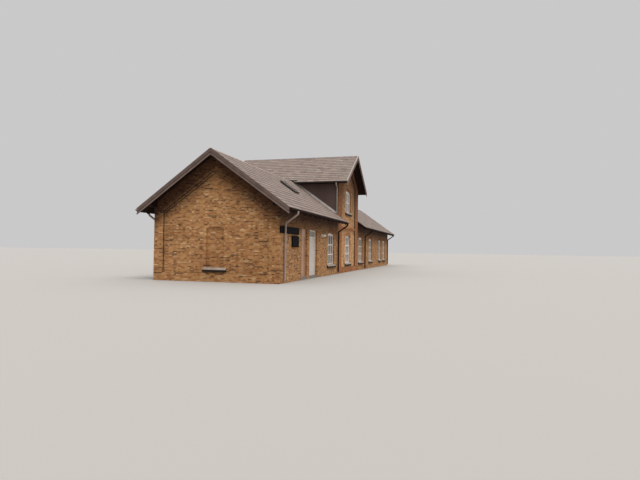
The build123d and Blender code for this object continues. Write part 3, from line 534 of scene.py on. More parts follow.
# Extruded milky tube of the wall lamp: smooth, white and softly glossy.
opal = mottled("opal polycarbonate", "#E4DFDA", "#D6D0CA", 0.3, 3, 0.05, 3.0)
print(float_glass.name, etched_glass.name, opal.name, sep=", ")

# %% [markdown]
# ## Slate
#
# Slate is split, not sawn, so its face ripples and looks half matt. The slates have weathered to a
# warm grey, and every one has its own tone. That tone is kept on the mesh as an attribute, one
# number a slate, so the colour can't cut across a slate's edge; the tail's edge gets the lowest
# tone, which is painted shade. A second attribute runs from 0 at the tail of a slate to 1 at its
# head: water hangs at the tail, so dirt stays there, and a painted shadow is laid there too, which
# draws each course as a dark line.

# %% Slate finish
LICHEN_PATCHES, RIPPLES = 2.2, 45.0      # to the metre: 450 mm and 22 mm each
slate_finish, tree, surface, place = start_finish("weathered riven slate", 0.35)
tone = add_node(tree, "ShaderNodeAttribute", attribute_name="tone")
shade = add_node(tree, "ShaderNodeValToRGB", {0: tone.outputs["Fac"]})
# The stop at 0 is the tails' edges: painted shade.
fill_ramp(shade, [(0.0, "#2E2622"), (0.1, "#70605A"), (0.2, "#7E6963"), (0.35, "#7E6F66"),
                  (0.6, "#83736A"), (0.9, "#87776D"), (1.0, "#8F7F75")])
lichen = add_node(tree, "ShaderNodeTexNoise", {"Vector": place, "Scale": LICHEN_PATCHES, "Detail": 8.0,
                                               "Roughness": 0.7})
crust = add_node(tree, "ShaderNodeMapRange", {0: lichen.outputs["Fac"], 1: 0.5, 2: 0.68, 3: 0.0, 4: 0.5})
grown = add_node(tree, "ShaderNodeMix", {0: crust.outputs[0], 6: shade.outputs[0], 7: from_hex("#95897A")},
                 data_type="RGBA")
height = add_node(tree, "ShaderNodeAttribute", attribute_name="height")
# Darker near each slate's tail: dirt, and a painted shadow line along each course.
tail_dirt_and_shadow = add_node(tree, "ShaderNodeMapRange", {0: height.outputs["Fac"], 1: 0.07, 2: 0.2,
                                                  3: 0.75, 4: 0.0})
stained = add_node(tree, "ShaderNodeMix", {0: tail_dirt_and_shadow.outputs[0], 6: grown.outputs[2],
                                           7: from_hex("#463A34")}, data_type="RGBA")
riven = add_node(tree, "ShaderNodeTexNoise", {"Vector": place, "Scale": RIPPLES, "Detail": 6.0})
matt = add_node(tree, "ShaderNodeMapRange", {0: riven.outputs["Fac"], 3: 0.62, 4: 0.85})
ripple = add_node(tree, "ShaderNodeBump", {"Height": riven.outputs["Fac"], "Strength": 0.5,
                                           "Distance": 0.002})
tree.links.new(stained.outputs[2], surface.inputs["Base Color"])
tree.links.new(matt.outputs[0], surface.inputs["Roughness"])
tree.links.new(ripple.outputs[0], surface.inputs["Normal"])
print(slate_finish.name, "and", len(bpy.data.materials), "finishes in all")

# %% [markdown]
# ## CAD nodes of one finish
#
# A CAD node keeps its shape and gets its material in its own slot. Most nodes are of one stuff
# all over, so a plain list of node and finish dresses them.

# %% CAD nodes of one finish
one_finish = {
    "ground_floor": screed, "upper_floor": floorboards, "door_thresholds": granite,
    "wing_bargeboards": brown_paint, "block_bargeboards": brown_paint, "block_side_cladding": grey_boards,
    "wing_ridge_tiles": roof_mortar, "block_ridge_tiles": roof_mortar, "rafter_tails": shaded_brown_paint,
    "wing_purlin_ends": shaded_brown_paint, "wing_gutters": brown_pipe, "block_gutters": shaded_zinc,
    "block_downpipes": zinc, "near_window_frames": white_paint, "block_window_frames": white_paint,
    "far_window_frames": white_paint, "near_window_glass": float_glass, "block_window_glass": float_glass,
    "far_window_glass": float_glass, "main_door_overlight": etched_glass, "string_courses": strip_brick,
    "wall_boards": dark_enamel, "wall_lamp": opal, "roof_hatch": hatch_metal,
    "main_door_frame": white_paint, "side_door_frame": beige_steel, "main_door_left_leaf": white_steel,
    "main_door_right_leaf": white_steel, "side_door_leaf": beige_steel,
}
for name, finish in one_finish.items():
    nodes[name].data.materials.clear()
    nodes[name].data.materials.append(finish)
print(len(one_finish), "nodes of one finish")

# %% [markdown]
# ## CAD nodes of several finishes
#
# A wall is brick outside and lime-washed plaster inside, and a roof slab is slate above and
# painted boards below. Such a node gets a slot for each finish, and each face is given to one of
# them by a rule: where its middle is, or which way it looks.

# %% Rules for faces
NEARLY = 0.002                 # how near a face's middle lies to a plane that it is on
inner_y = (y_front + WALL, y_rear - WALL, y_block_rear - WALL)
inner_x = (x_near + WALL, x_block + WALL, x_far - WALL, x_end - WALL)


def looks_inside(centre, normal):
    """True on the faces of a wall that close a room."""
    return (abs(normal.y) > 0.9 and min(abs(centre.y - y) for y in inner_y) < NEARLY
            or abs(normal.x) > 0.9 and min(abs(centre.x - x) for x in inner_x) < NEARLY)


def gable_faces(outer, sunk, axis):
    """A rule for a gable with a sunk panel: brick 0, plaster 1, the panel's edges 2, strips 3."""
    def rule(centre, normal):
        depth = (centre[axis] - outer) / (sunk - outer)
        if looks_inside(centre, normal):
            return 1
        # The returns inside the sunk panel take the dark brick as painted shade.
        if 0.02 < depth < 0.98 and abs(normal[axis]) < 0.1:
            return 2
        return 3 if depth < 0.02 and axis == 1 else 0
    return rule


gables = {
    "near_gable_wall": gable_faces(x_near, x_near + RELIEF, 0),
    "far_gable_wall": gable_faces(x_end, x_end - RELIEF, 0),
    "block_front_wall": gable_faces(y_front, y_front + RELIEF, 1),
    "block_rear_wall": gable_faces(y_block_rear, y_block_rear - RELIEF, 1),
}
print(len(gables), "gables with a rule of their own")

# %% [markdown]
# ## Giving the faces their finish
#
# A node's name says what it is: a wall, a pier, a roof, a pipe or a sill. So the name picks the
# finishes, and the rule gives each face the number of its slot.

# %% CAD nodes of several finishes
for name, node in nodes.items():
    if name in gables:
        panel_brick = block_brick if name.startswith("block") else stock_brick
        finishes, rule = (panel_brick, plaster, burnt_brick_and_painted_shade, strip_brick), gables[name]
    elif name in ("block_near_wall", "block_far_wall"):
        finishes, rule = (block_brick, plaster), looks_inside
    elif name.endswith(("_wall", "_wall_outer", "_wall_inner", "_pier", "_door_head")):
        finishes, rule = (stock_brick, plaster), looks_inside
    elif "_roof_" in name:
        # The roof slabs' undersides take the brown paint darkened as painted shade.
        finishes, rule = (slate_finish, shaded_brown_paint), lambda centre, normal: normal.z < 0.1
    elif name == "wing_downpipes":
        finishes, rule = (brown_pipe, pale_pipe), lambda centre, normal: centre.x < x_near + 1.0
    elif name == "window_sills":
        finishes, rule = (cast_stone, burnt_brick_and_painted_shade), lambda centre, normal: normal.z < 0.3
    else:
        continue
    node.data.materials.clear()
    for finish in finishes:
        node.data.materials.append(finish)
    for face in node.data.polygons:
        face.material_index = int(rule(face.center, face.normal))
print("dressed", len(nodes), "CAD nodes")

# %% [markdown]
# ## The roof slopes as planes
#
# Slates, cappings, beads and flashings all lie on a slope. A matrix for each slope lets them be
# measured as a roofer does: X along the eaves, Y up the slope and Z off the roof.

# %% Roof planes
wing_run = wing_half / math.cos(WING_PITCH)
block_run = block_half / math.cos(BLOCK_PITCH)


def plane_at(start, along, up):
    """The matrix of a surface: X along it, Y up it and Z off it."""
    along, up = Vector(along).normalized(), Vector(up).normalized()
    turn = Matrix((along, up, along.cross(up))).transposed().to_4x4()
    return Matrix.Translation(start) @ turn


def wing_slope(x, side):
    """A wing's slope from x on its eaves, the front one for side -1 and the rear one for 1."""
    return plane_at((x, y_ridge + side * wing_half, wing_eave), (-side, 0, 0),
                    (0, -side * math.cos(WING_PITCH), math.sin(WING_PITCH)))


def block_slope(y, side):
    """The block's slope from y on its eaves, the near one for side -1 and the far one for 1."""
    return plane_at((block_axis + side * block_half, y, block_eave), (0, side, 0),
                    (-side * math.cos(BLOCK_PITCH), 0, math.sin(BLOCK_PITCH)))


print("slopes", round(wing_run, 2), "m on the wings and", round(block_run, 2), "m on the block")

# %% [markdown]
# ## Laying the slates
#
# The slates are 400 mm wide, and each course shows about 320 mm. A slater starts at the eaves and
# works up. Each slate leans on the course below, so its tail stands a slate's thickness clear and
# casts a thin shadow: that row of shadows is what makes a slate roof read from far off. One cube a
# slate, tilted a couple of degrees, is enough. Alternate courses start half a slate along, and the
# slates at the ends are cut to the verge.

# %% How slates are laid
SLATE_WIDTH, SLATE_SHOWN, SLATE_LAP, SLATE_THICK = 0.40, 0.32, 0.05, 0.012
SLATE_GAP, EAVES_OVERHANG, NARROWEST = 0.005, 0.012, 0.04
BEDDED = 1.15                  # a slate's middle lies this many thicknesses over the roof
NOTCH_HALF, NOTCH_RISE = 0.3, 0.1      # left free on the block's slopes round a wing's ridge
CUBE_CORNERS, CUBE_FACES = 8, 6
slater = random.Random(35)


def mark_slates(bm, plane, tones, seats):
    """Keep each slate's tone on its faces, painted shade on its tail's edge, and the height on its corners.
    """
    height = bm.verts.layers.float.new("height")
    for index, vert in enumerate(bm.verts):
        vert[height] = float((seats[index // CUBE_CORNERS] @ vert.co).y > 0)
    layer = bm.faces.layers.float.new("tone")
    bm.normal_update()
    downhill = -plane.col[1].to_3d()
    for index, face in enumerate(bm.faces):
        # A slate's tail edge gets tone 0, which is painted shade.
        tail = face.normal.dot(downhill) > 0.9
        face[layer] = 0.0 if tail else 0.1 + 0.9 * tones[index // CUBE_FACES]


def lay_slates(name, plane, length, run, left_out=lambda point: False):
    """Courses of slates over a slope that is length long and run high."""
    bm = bmesh.new()
    courses = round(run / SLATE_SHOWN)
    shown = run / courses
    tilt = Matrix.Rotation(-math.atan2(SLATE_THICK, shown), 4, "X")
    tones, seats = [], []
    for course in range(courses):
        low = course * shown if course else -EAVES_OVERHANG
        high = min((course + 1) * shown + SLATE_LAP, run)
        left = -(SLATE_WIDTH / 2) * (course % 2)
        while left < length:
            start, stop = max(left, 0), min(left + SLATE_WIDTH - SLATE_GAP, length)
            left += SLATE_WIDTH
            middle = Vector(((start + stop) / 2, (low + high) / 2, 0))
            if stop - start < NARROWEST or left_out(plane @ middle):
                continue
            lift = SLATE_THICK * BEDDED + slater.uniform(0, 0.002)
            skew = Matrix.Rotation(slater.uniform(-0.006, 0.006), 4, "Z")
            seat = plane @ Matrix.Translation(middle + Vector((0, 0, lift))) @ skew @ tilt
            half = ((stop - start) / 2, (high - low) / 2, SLATE_THICK / 2)
            add_box(bm, [-side for side in half], half, seat)
            tones.append(slater.random())
            seats.append(seat.inverted())
    mark_slates(bm, plane, tones, seats)
    return piece_from(bm, name, slate_finish)


print("slates", SLATE_WIDTH, "m wide, each showing about", SLATE_SHOWN, "m")

# %% [markdown]
# ## The six slopes
#
# Each wing has a front and a rear slope, whose slates run on over the bargeboards at its gable. On
# the middle block they run over the bargeboards at both gables, and leave a notch where a wing's
# ridge comes in under the eaves.

# %% Slates
for part, first, last in (("near", near_slab[0].x - VERGE_BOARDS, near_slab[1].x),
                          ("far", far_slab[0].x, far_slab[1].x + VERGE_BOARDS)):
    for side, face in ((-1, "front"), (1, "rear")):
        slope = wing_slope(first if side < 0 else last, side)
        lay_slates(f"{part}_slates_{face}", slope, last - first, wing_run)


def over_wing_ridge(point):
    """True where a wing's ridge runs in under the block's eaves, and no slate fits."""
    return abs(point.y - y_ridge) < NOTCH_HALF and point.z < wing_ridge + NOTCH_RISE


verge_front, verge_rear = block_slab[0].y - VERGE_BOARDS, block_slab[1].y + VERGE_BOARDS
for side, part in ((-1, "near"), (1, "far")):
    slope = block_slope(verge_rear if side < 0 else verge_front, side)
    lay_slates(f"block_slates_{part}", slope, verge_rear - verge_front, block_run, over_wing_ridge)

# %% [markdown]
# ## Ridge tiles
#
# Half-round clay tiles sit astride each ridge on a bed of mortar. Each one is a little wider at
# one end, so that it laps over its neighbour, and the laps draw a row of short shadows along the
# ridge. A cone is cut to its upper half and given a wall, which is one tile, and copies of it
# follow each other along the ridge, in place of the CAD model's plain ones. The bed is a solid
# half round inside them.

# %% Ridge tiles
RIDGE_TILE_LENGTH, RIDGE_TILE_LAP, RIDGE_SEGMENTS = 0.48, 0.05, 28
RIDGE_INNER, RIDGE_FLARE, RIDGE_WALL = 0.088, 0.010, 0.012
RIDGE_CENTRE_DROP = 0.093      # ridge line down to the middle of the tile's curve
RIDGE_TO_BLOCK = 0.12          # a wing's row stops this far before the block
BED_SETBACK = 0.02             # the mortar stops this far inside the open ends of a row
whole_tile = RIDGE_TILE_LENGTH + RIDGE_TILE_LAP


def tiles_along(first, last, place):
    """Places for the tiles of one ridge, between two points on the line that place puts down."""
    count = round((last - first) / RIDGE_TILE_LENGTH)
    step = (last - first - whole_tile) / (count - 1)
    return [place(first + whole_tile / 2 + index * step) for index in range(count)]


def on_wing_ridge(x):
    """Where a tile with its middle at x goes on a wing's ridge."""
    return Matrix.Translation((x, y_ridge, wing_ridge - RIDGE_CENTRE_DROP))


def on_block_ridge(y):
    """Where a tile with its middle at y goes on the block's ridge."""
    return Matrix.Translation((block_axis, y, block_ridge - RIDGE_CENTRE_DROP)) @ QUARTER_Z


near_end, far_end = (corner.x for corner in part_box("wing_bargeboards"))
near_row = (near_end, x_block - RIDGE_TO_BLOCK, on_wing_ridge)
far_row = (x_far + RIDGE_TO_BLOCK, far_end, on_wing_ridge)
block_row = (verge_front, verge_rear, on_block_ridge)
tile = round_pattern(whole_tile, RIDGE_INNER, RIDGE_SEGMENTS, RIDGE_FLARE, RIDGE_WALL, keep="upper")
for part, rows, clay in (("wing", (near_row, far_row), clay_ridge), ("block", (block_row,), dark_clay_ridge)):
    bm = bmesh.new()
    for row in rows:
        add_copies(bm, tile, tiles_along(*row))
    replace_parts(piece_from(bm, f"{part}_ridge_caps", clay), f"{part}_ridge_tiles")
bm = bmesh.new()
for first, last, place in (near_row, far_row, block_row):
    bed = round_pattern(last - first - 2 * BED_SETBACK, RIDGE_INNER, RIDGE_SEGMENTS, keep="upper")
    add_copies(bm, bed, [place((first + last) / 2)])
piece_from(bm, "ridge_bedding", roof_mortar)

# %% [markdown]
# ## Verge cappings
#
# Rain would get in behind the bargeboards, so a strip covers their upper edge and the ends of the
# slates: brown paint on the wings, and pale mortar on the middle block. It is one bar on the
# slope with a narrow lip down the board's face.

# %% Verge cappings
CAP_WIDTH, CAP_THICK, CAP_LIP, LIP_THICK = 0.06, 0.004, 0.03, 0.001
CAP_END = 0.03                 # the cappings stop this far down the slope, under the ridge tile
CAP_RISE = SLATE_THICK * 2 + 0.006
# Each raking edge is the slope that starts there, and the way along its X onto the roof.
wing_edges = [(wing_slope(x, side), -side * inward) for x, inward in ((near_end, 1), (far_end, -1))
              for side in (-1, 1)]
block_edges = [(block_slope(y, side), side * inward) for y, inward in ((verge_front, 1), (verge_rear, -1))
               for side in (-1, 1)]
for name, edges, run, finish, slot in (
        ("wing_verge_strips", wing_edges, wing_run, brown_paint, "brown_wood"),
        ("block_verge_fillets", block_edges, block_run, pale_mortar, "ridge_tile")):
    bm = bmesh.new()
    for slope, inward in edges:
        end = (0, run - CAP_END, CAP_RISE + CAP_THICK)
        add_box(bm, (inward * CAP_WIDTH, 0, CAP_RISE), end, slope)
        add_box(bm, (-inward * LIP_THICK, 0, -CAP_LIP), end, slope)
    piece_from(bm, name, finish)

# %% [markdown]
# ## Beads under the bargeboards
#
# The lower bargeboard stands back in the shade of the upper one, and a moulded bead along its foot
# catches the light again, its paint made lighter as a painted highlight. It is one bar on the slope,
# kept back behind the upper board's face.

# %% Verge beads
BARGE_DEPTH, BARGE_STEP = 0.28, 0.022
BEAD_HIGH, BEAD_OUT = 0.05, 0.014
for name, edges, run, pitch in (("wing_verge_beads", wing_edges, wing_run, WING_PITCH),
                                ("block_verge_beads", block_edges, block_run, BLOCK_PITCH)):
    bm = bmesh.new()
    foot, shift = -BARGE_DEPTH * math.cos(pitch), -BARGE_DEPTH * math.sin(pitch)
    for slope, inward in edges:
        add_box(bm, (inward * (BARGE_STEP - BEAD_OUT), shift, foot),
                (inward * BARGE_STEP, run + shift, foot + BEAD_HIGH), slope)
    piece_from(bm, name, highlit_bead_paint)

# %% [markdown]
# ## Painted shadow in the corners of the corbelled panels
#
# The panel's head climbs the gable in steps of one course, in two stages, each standing half the
# relief in front of the next. Each step casts a shadow into the corner behind it, and that shadow is
# painted in dark strips, so the zigzag shows from far off. Each step gets a narrow strip up its riser
# and a narrower one under its tread, both on the sunk face.

# %% Corbel corners
CORBEL_BAND = 2 * COURSE
WING_STRIP, BLOCK_STRIP = 0.52, 1.08
WING_DROP, BLOCK_DROP = 1.0, 0.78
RISER_STRIP, TREAD_STRIP, STRIP_THICK = 0.022, 0.014, 0.003


def line_steps(bm, half, head, slope, depth, place):
    """Painted shadow strips in the corners of a panel's head; place puts (across, height, depth) on the wall.
    """
    run = COURSE / slope
    steps = math.floor(half / run)
    for index in range(steps):
        start, level = -half + index * run, head + index * COURSE
        stop = start + run if index < steps - 1 else 0
        strips = [((start, level - TREAD_STRIP), (stop, level))]
        if index:
            strips.append(((start, level - COURSE), (start + RISER_STRIP, level - TREAD_STRIP)))
        for side in (-1, 1):
            for (across, low), (further, high) in strips:
                add_box(bm, place(side * across, low, depth - STRIP_THICK),
                        place(side * further, high, depth + SINK))


bm = bmesh.new()
wing_panel = (y_rear - y_front) / 2 - WING_STRIP
block_panel = (x_far - x_block) / 2 - BLOCK_STRIP
for stage, depth in ((CORBEL_BAND, RELIEF / 2), (0, RELIEF)):
    head = wing_ridge - wing_panel * math.tan(WING_PITCH) - WING_DROP + stage
    for x_outer, inward in ((x_near, 1), (x_end, -1)):
        line_steps(bm, wing_panel, head, math.tan(WING_PITCH), depth,
                   lambda across, height, deep: (x_outer + inward * deep, y_ridge + across, height))
    head = block_ridge - block_panel * math.tan(BLOCK_PITCH) - BLOCK_DROP + stage
    for y_outer, inward in ((y_front, 1), (y_block_rear, -1)):
        line_steps(bm, block_panel, head, math.tan(BLOCK_PITCH), depth,
                   lambda across, height, deep: (block_axis + across, y_outer + inward * deep, height))
piece_from(bm, "corbel_corner_shadow", burnt_brick_and_painted_shade)

# %% [markdown]
# ## Segmental arches
#
# Each opening is spanned by a ring of bricks on edge, all pointing at the arch's centre. The bed
# of mortar behind them is a bar spun round that centre, and the bricks are copies of one box, each
# turned a little further. The ring stands 5 mm proud, as the mason's template left it.

# %% How an arch is turned
ARCH_HEIGHT, ARCH_PROUD, ARCH_IN_WALL, BRICK_EDGE = 0.228, 0.005, 0.02, 0.054
ARCH_PITCH = BRICK_EDGE + JOINT
BED_THICK, BED_MIDDLE, BED_MARGIN, BED_STEPS = 0.022, -0.009, 0.002, 12
UNEVEN = 0.001                 # no brick is set quite level with the next
mason = random.Random(7)


def add_arch(bricks, bed, width, rise, crown, plane):
    """A ring of bricks on edge; plane puts X along the wall, Y up and Z out of the wall."""
    radius = ((width / 2) ** 2 + rise ** 2) / (2 * rise)
    half_angle = math.asin(width / 2 / radius)
    centre = plane @ Matrix.Translation((0, crown - radius, 0))
    count = round(2 * half_angle * radius / ARCH_PITCH)
    step = 2 * half_angle / count
    for index in range(count):
        turn = Matrix.Rotation(half_angle - (index + 0.5) * step, 4, "Z")
        out = ARCH_PROUD + mason.uniform(-UNEVEN, UNEVEN)
        add_box(bricks, (-BRICK_EDGE / 2, radius + BED_MARGIN, -ARCH_IN_WALL),
                (BRICK_EDGE / 2, radius + ARCH_HEIGHT, out), centre @ turn)
    upended = (Matrix.Translation((0, radius + ARCH_HEIGHT / 2, BED_MIDDLE)) @ QUARTER_Y
               @ Matrix.Diagonal((BED_THICK, ARCH_HEIGHT - 2 * BED_MARGIN, 1, 1)))
    section = bmesh.ops.create_grid(bed, x_segments=1, y_segments=1, size=0.5,
                                    matrix=centre @ Matrix.Rotation(half_angle, 4, "Z") @ upended)
    faces = {face for vert in section["verts"] for face in vert.link_faces}
    edges = {edge for face in faces for edge in face.edges}
    bmesh.ops.spin(bed, geom=list(faces) + list(edges) + section["verts"], cent=centre.to_translation(),
                   axis=(centre.to_3x3() @ Vector((0, 0, 1))).normalized(), angle=-2 * half_angle,
                   steps=BED_STEPS, use_duplicate=False)


print("bricks on edge every", ARCH_PITCH, "m")

# %% [markdown]
# ## An arch over each window
#
# The bricks on edge are browner than the wall, and the upper ones on the middle block are darkened
# by soot and painted shade as the wall there is. The bricks and the mortar are two pieces, because
# each has its own finish.

# %% Arches
# Rubbed stock bricks, chosen for an even tone: a plain warm band round each opening.
EDGE_COLOURS = [(0.0, "#8A5430"), (0.3, "#B0713F"), (0.6, "#C4884F"), (1.0, "#A56436")]
EDGE_MORTAR = "#B2916C"
wing_arch = brick_finish("yellow stock brick on edge", EDGE_COLOURS, EDGE_MORTAR)
block_arch = brick_finish("yellow stock brick on edge in the middle block", EDGE_COLOURS, EDGE_MORTAR,
                          **BLOCK_SOOT_AND_SHADE)
for part, found in windows.items():
    bricks, bed = bmesh.new(), bmesh.new()
    for x, sill, crown, rows, face, outward in found:
        plane = plane_at((x, face, 0), (-outward, 0, 0), (0, 0, 1))
        add_arch(bricks, bed, WINDOW_WIDTH, WINDOW_RISE, crown, plane)
    piece_from(bricks, f"{part}_arch_bricks", block_arch if part == "block" else wing_arch)
    piece_from(bed, f"{part}_arch_mortar", roof_mortar)

# %% [markdown]
# ## Glazing beads
#
# Every pane is held by a narrow painted bead. The bead catches the light on one side and a shadow
# on the other, which gives the joinery its crisp lines. Each pane gets a rim of four small bars.

# %% Glazing beads
FRAME_WIDTH, FRAME_DEPTH, FRAME_SETBACK, BAR = 0.07, 0.07, 0.095, 0.05
BEAD, BEAD_BACK = 0.018, 0.012
LIGHTS = 3
light = (WINDOW_WIDTH - 2 * FRAME_WIDTH - (LIGHTS - 1) * BAR) / LIGHTS
for part, found in windows.items():
    bm = bmesh.new()
    for x, sill, crown, rows, face, outward in found:
        row = (crown - sill - WINDOW_RISE - 2 * FRAME_WIDTH - (rows - 1) * BAR) / rows
        back = face - outward * (FRAME_SETBACK + FRAME_DEPTH)
        depths = (back, back + outward * (FRAME_DEPTH - BEAD_BACK))
        for column in range(LIGHTS):
            left = x - WINDOW_WIDTH / 2 + FRAME_WIDTH + column * (light + BAR)
            for level in range(rows):
                low = sill + FRAME_WIDTH + level * (row + BAR)
                add_rim(bm, (left, low), (left + light, low + row), BEAD, depths)
    piece_from(bm, f"{part}_glazing_beads", white_paint)

# %% [markdown]
# ## Boards on the block's sides
#
# Above the wings' roofs the block's side walls are clad in upright boards. Each board is a box cut
# off along the wing's roof by a bisecting plane, so the row follows the slope.

# %% Side boards
BOARD_PITCH, BOARD_GAP, BOARD_THICK = 0.145, 0.006, 0.008
OVER_ROOF, UNDER_EAVES, BESIDE_RIDGE = 0.03, 0.01, 0.2
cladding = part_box("block_side_cladding")
bm = bmesh.new()
for x_face, outward in ((cladding[0].x, -1), (cladding[1].x, 1)):
    y = cladding[0].y
    while y < cladding[1].y - BOARD_PITCH:
        board = bmesh.new()
        add_box(board, (x_face, y, cladding[0].z),
                (x_face + outward * BOARD_THICK, y + BOARD_PITCH - BOARD_GAP, cladding[1].z - UNDER_EAVES))
        aside = y + BOARD_PITCH / 2 - y_ridge
        if abs(aside) < wing_half:
            side = math.copysign(1, aside)
            cut_off(board, (0, y_ridge, wing_ridge + OVER_ROOF),
                    (0, side * math.sin(WING_PITCH), math.cos(WING_PITCH)), True, True)
        kept = len(board.faces) >= CUBE_FACES and abs(aside) > BESIDE_RIDGE
        scrap = mesh_from(board, "board")
        if kept:
            bm.from_mesh(scrap)
        bpy.data.meshes.remove(scrap)
        y += BOARD_PITCH
piece_from(bm, "block_side_boards", grey_boards)

# %% [markdown]
# ## Flashings
#
# Where a wing's roof meets the middle block's side, a strip of lead lies on the slates and turns
# up the boards, so that rain can't run in. It is two thin bars along the slope at each meeting. In
# front it starts higher up, at the block's corner, because the wing's eaves run on past it.

# %% Flashings
LEAD_THICK, LEAD_ON_ROOF, LEAD_UPSTAND, BOARD_FACE = 0.003, 0.13, 0.11, 0.035
FRONT_START, BELOW_RIDGE = 0.84 / math.cos(WING_PITCH), 0.25
bm = bmesh.new()
for x_wall, outward in ((x_block, -1), (x_far, 1)):
    for side, start in ((-1, FRONT_START), (1, 0)):
        away = -side * outward
        for reach, height in ((BOARD_FACE + LEAD_ON_ROOF, CAP_RISE), (BOARD_FACE, CAP_RISE + LEAD_UPSTAND)):
            add_box(bm, (0, start, CAP_RISE - LEAD_THICK),
                    (away * reach, wing_run - BELOW_RIDGE, height + LEAD_THICK), wing_slope(x_wall, side))
piece_from(bm, "side_flashings", lead)

# %% [markdown]
# ## String course
#
# A band of bricks on edge crosses the middle block between the floors. The CAD solid is the bed,
# and the bricks are boxes a few millimetres prouder than it, with the joints left open between.

# %% String course
STRING_LOW, STRING_HIGH, STRING_PROUD, STRING_JOINT = 3.15, 3.29, 0.105, 0.004
string_left, string_right = (corner.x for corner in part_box("string_courses"))
bm = bmesh.new()
count = round((string_right - string_left) / ARCH_PITCH)
step = (string_right - string_left) / count
for y, outward in ((y_front + RELIEF, -1), (y_block_rear - RELIEF, 1)):
    for index in range(count):
        x = string_left + index * step + JOINT / 2
        out = y + outward * (STRING_PROUD + STRING_JOINT + mason.uniform(-UNEVEN, UNEVEN))
        add_box(bm, (x, y, STRING_LOW + STRING_JOINT), (x + step - JOINT, out, STRING_HIGH - STRING_JOINT))
piece_from(bm, "string_course_bricks", strip_brick)

# %% [markdown]
# ## Gutter straps and gutter ends
#
# A half-round gutter hangs in straps 0.9 m apart and is closed by a half disc at each end. A strap
# is a short ring cut in half, and it ends a little under the gutter's rim.

# %% Gutter straps and ends
GUTTER_RADIUS, GUTTER_DROP, GUTTER_END_THICK = 0.065, 0.025, 0.003
STRAP_SPACING, STRAP_WIDTH, STRAP_THICK, STRAP_DROP = 0.9, 0.03, 0.002, 0.018
FIRST_STRAP = 0.2              # from the verge, and from the middle block
CLEAR = 0.0005                 # between a ring and what it goes round


def on_wing_gutter(x, side):
    """The middle of a wing gutter's round, at x along it."""
    return Matrix.Translation((x, y_ridge + side * (wing_half + GUTTER_RADIUS), wing_eave - GUTTER_DROP))


def on_block_gutter(y, side):
    """The middle of a block gutter's round, at y along it."""
    middle = (block_axis + side * (block_half + GUTTER_RADIUS), y, block_eave - GUTTER_DROP)
    return Matrix.Translation(middle) @ QUARTER_Z


strap = round_pattern(STRAP_WIDTH, GUTTER_RADIUS + CLEAR, 20, wall=STRAP_THICK, keep="lower",
                      level=-STRAP_DROP)
gutter_end = round_pattern(GUTTER_END_THICK, GUTTER_RADIUS, 24, keep="lower")
bm = bmesh.new()
for start, stop in ((near_end, x_block), (x_far, far_end)):
    first, last = start + FIRST_STRAP, stop - FIRST_STRAP
    count = round((last - first) / STRAP_SPACING)
    for index in range(count + 1):
        x = first + (last - first) * index / count
        add_copies(bm, strap, [on_wing_gutter(x, side) for side in (-1, 1)])
near_tip, far_tip = (corner.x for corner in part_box("wing_gutters"))
for x in (near_tip + GUTTER_END_THICK / 2, far_tip - GUTTER_END_THICK / 2):
    add_copies(bm, gutter_end, [on_wing_gutter(x, side) for side in (-1, 1)])
piece_from(bm, "wing_gutter_fittings", brown_pipe)

bm = bmesh.new()
front_tip, rear_tip = (corner.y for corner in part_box("block_gutters"))
for y in (front_tip + GUTTER_END_THICK / 2, rear_tip - GUTTER_END_THICK / 2):
    add_copies(bm, gutter_end, [on_block_gutter(y, side) for side in (-1, 1)])
piece_from(bm, "block_gutter_ends", shaded_zinc)

# %% [markdown]
# ## Pipe clips
#
# A downpipe is held off the wall by clips: a ring round the pipe and a stay back to the brickwork.
# They take the finish of their pipe.

# %% Pipe clips
CLIP_WIDTH, CLIP_THICK, STAY = 0.03, 0.004, 0.012
WING_PIPE, WING_PIPE_OUT = 0.05, 0.09
BLOCK_PIPE, BLOCK_PIPE_OUT = 0.038, 0.078
CLIP_HEIGHTS, FRONT_HEIGHTS = (0.45, 1.55, 2.5), (4.5, 5.5)
REAR_HEIGHTS = CLIP_HEIGHTS + (4.0, 5.5)
BLOCK_PIPE_IN = 0.1            # from the block's corner to its pipe
NEAR_PIPE, SIDE_PIPE, FAR_PIPE, END_PIPE = 0.57, 0.23, 2.9, 0.5
pipe_xs = (x_near + NEAR_PIPE, x_block - SIDE_PIPE, x_far + FAR_PIPE, x_end - END_PIPE)


def add_clips(bm, radius, reach, wall_points):
    """A clip round the pipe and a stay to the wall at each (point on the wall, way out) pair."""
    clip = round_pattern(CLIP_WIDTH, radius + CLEAR, 20, wall=CLIP_THICK)
    for point, way in wall_points:
        point, way = Vector(point), Vector(way)
        add_copies(bm, clip, [Matrix.Translation(point + way * reach) @ QUARTER_Y])
        margin = Vector([STAY * (1 - abs(part)) for part in way])
        add_box(bm, point - margin, point + way * (reach - radius) + margin)


for name, finish, xs in (("corner_pipe_clips", pale_pipe, pipe_xs[:1]),
                         ("wing_pipe_clips", brown_pipe, pipe_xs[1:])):
    bm = bmesh.new()
    add_clips(bm, WING_PIPE, WING_PIPE_OUT, [
        ((x, y, z), (0, side, 0)) for x in xs for y, side in ((y_front, -1), (y_rear, 1))
        for z in CLIP_HEIGHTS])
    piece_from(bm, name, finish)
bm = bmesh.new()
add_clips(bm, BLOCK_PIPE, BLOCK_PIPE_OUT, [
    ((x, y, z), (side, 0, 0)) for x, side in ((x_block, -1), (x_far, 1))
    for y, heights in ((y_front + BLOCK_PIPE_IN, FRONT_HEIGHTS), (y_block_rear - BLOCK_PIPE_IN, REAR_HEIGHTS))
    for z in heights])
piece_from(bm, "block_pipe_clips", zinc)

# %% [markdown]
# ## Wall boards and lamp
#
# The long board and the small one beside the doors are plain enamelled sheets with a raised rim.
# The tube lamp has a pressed cap on each end.

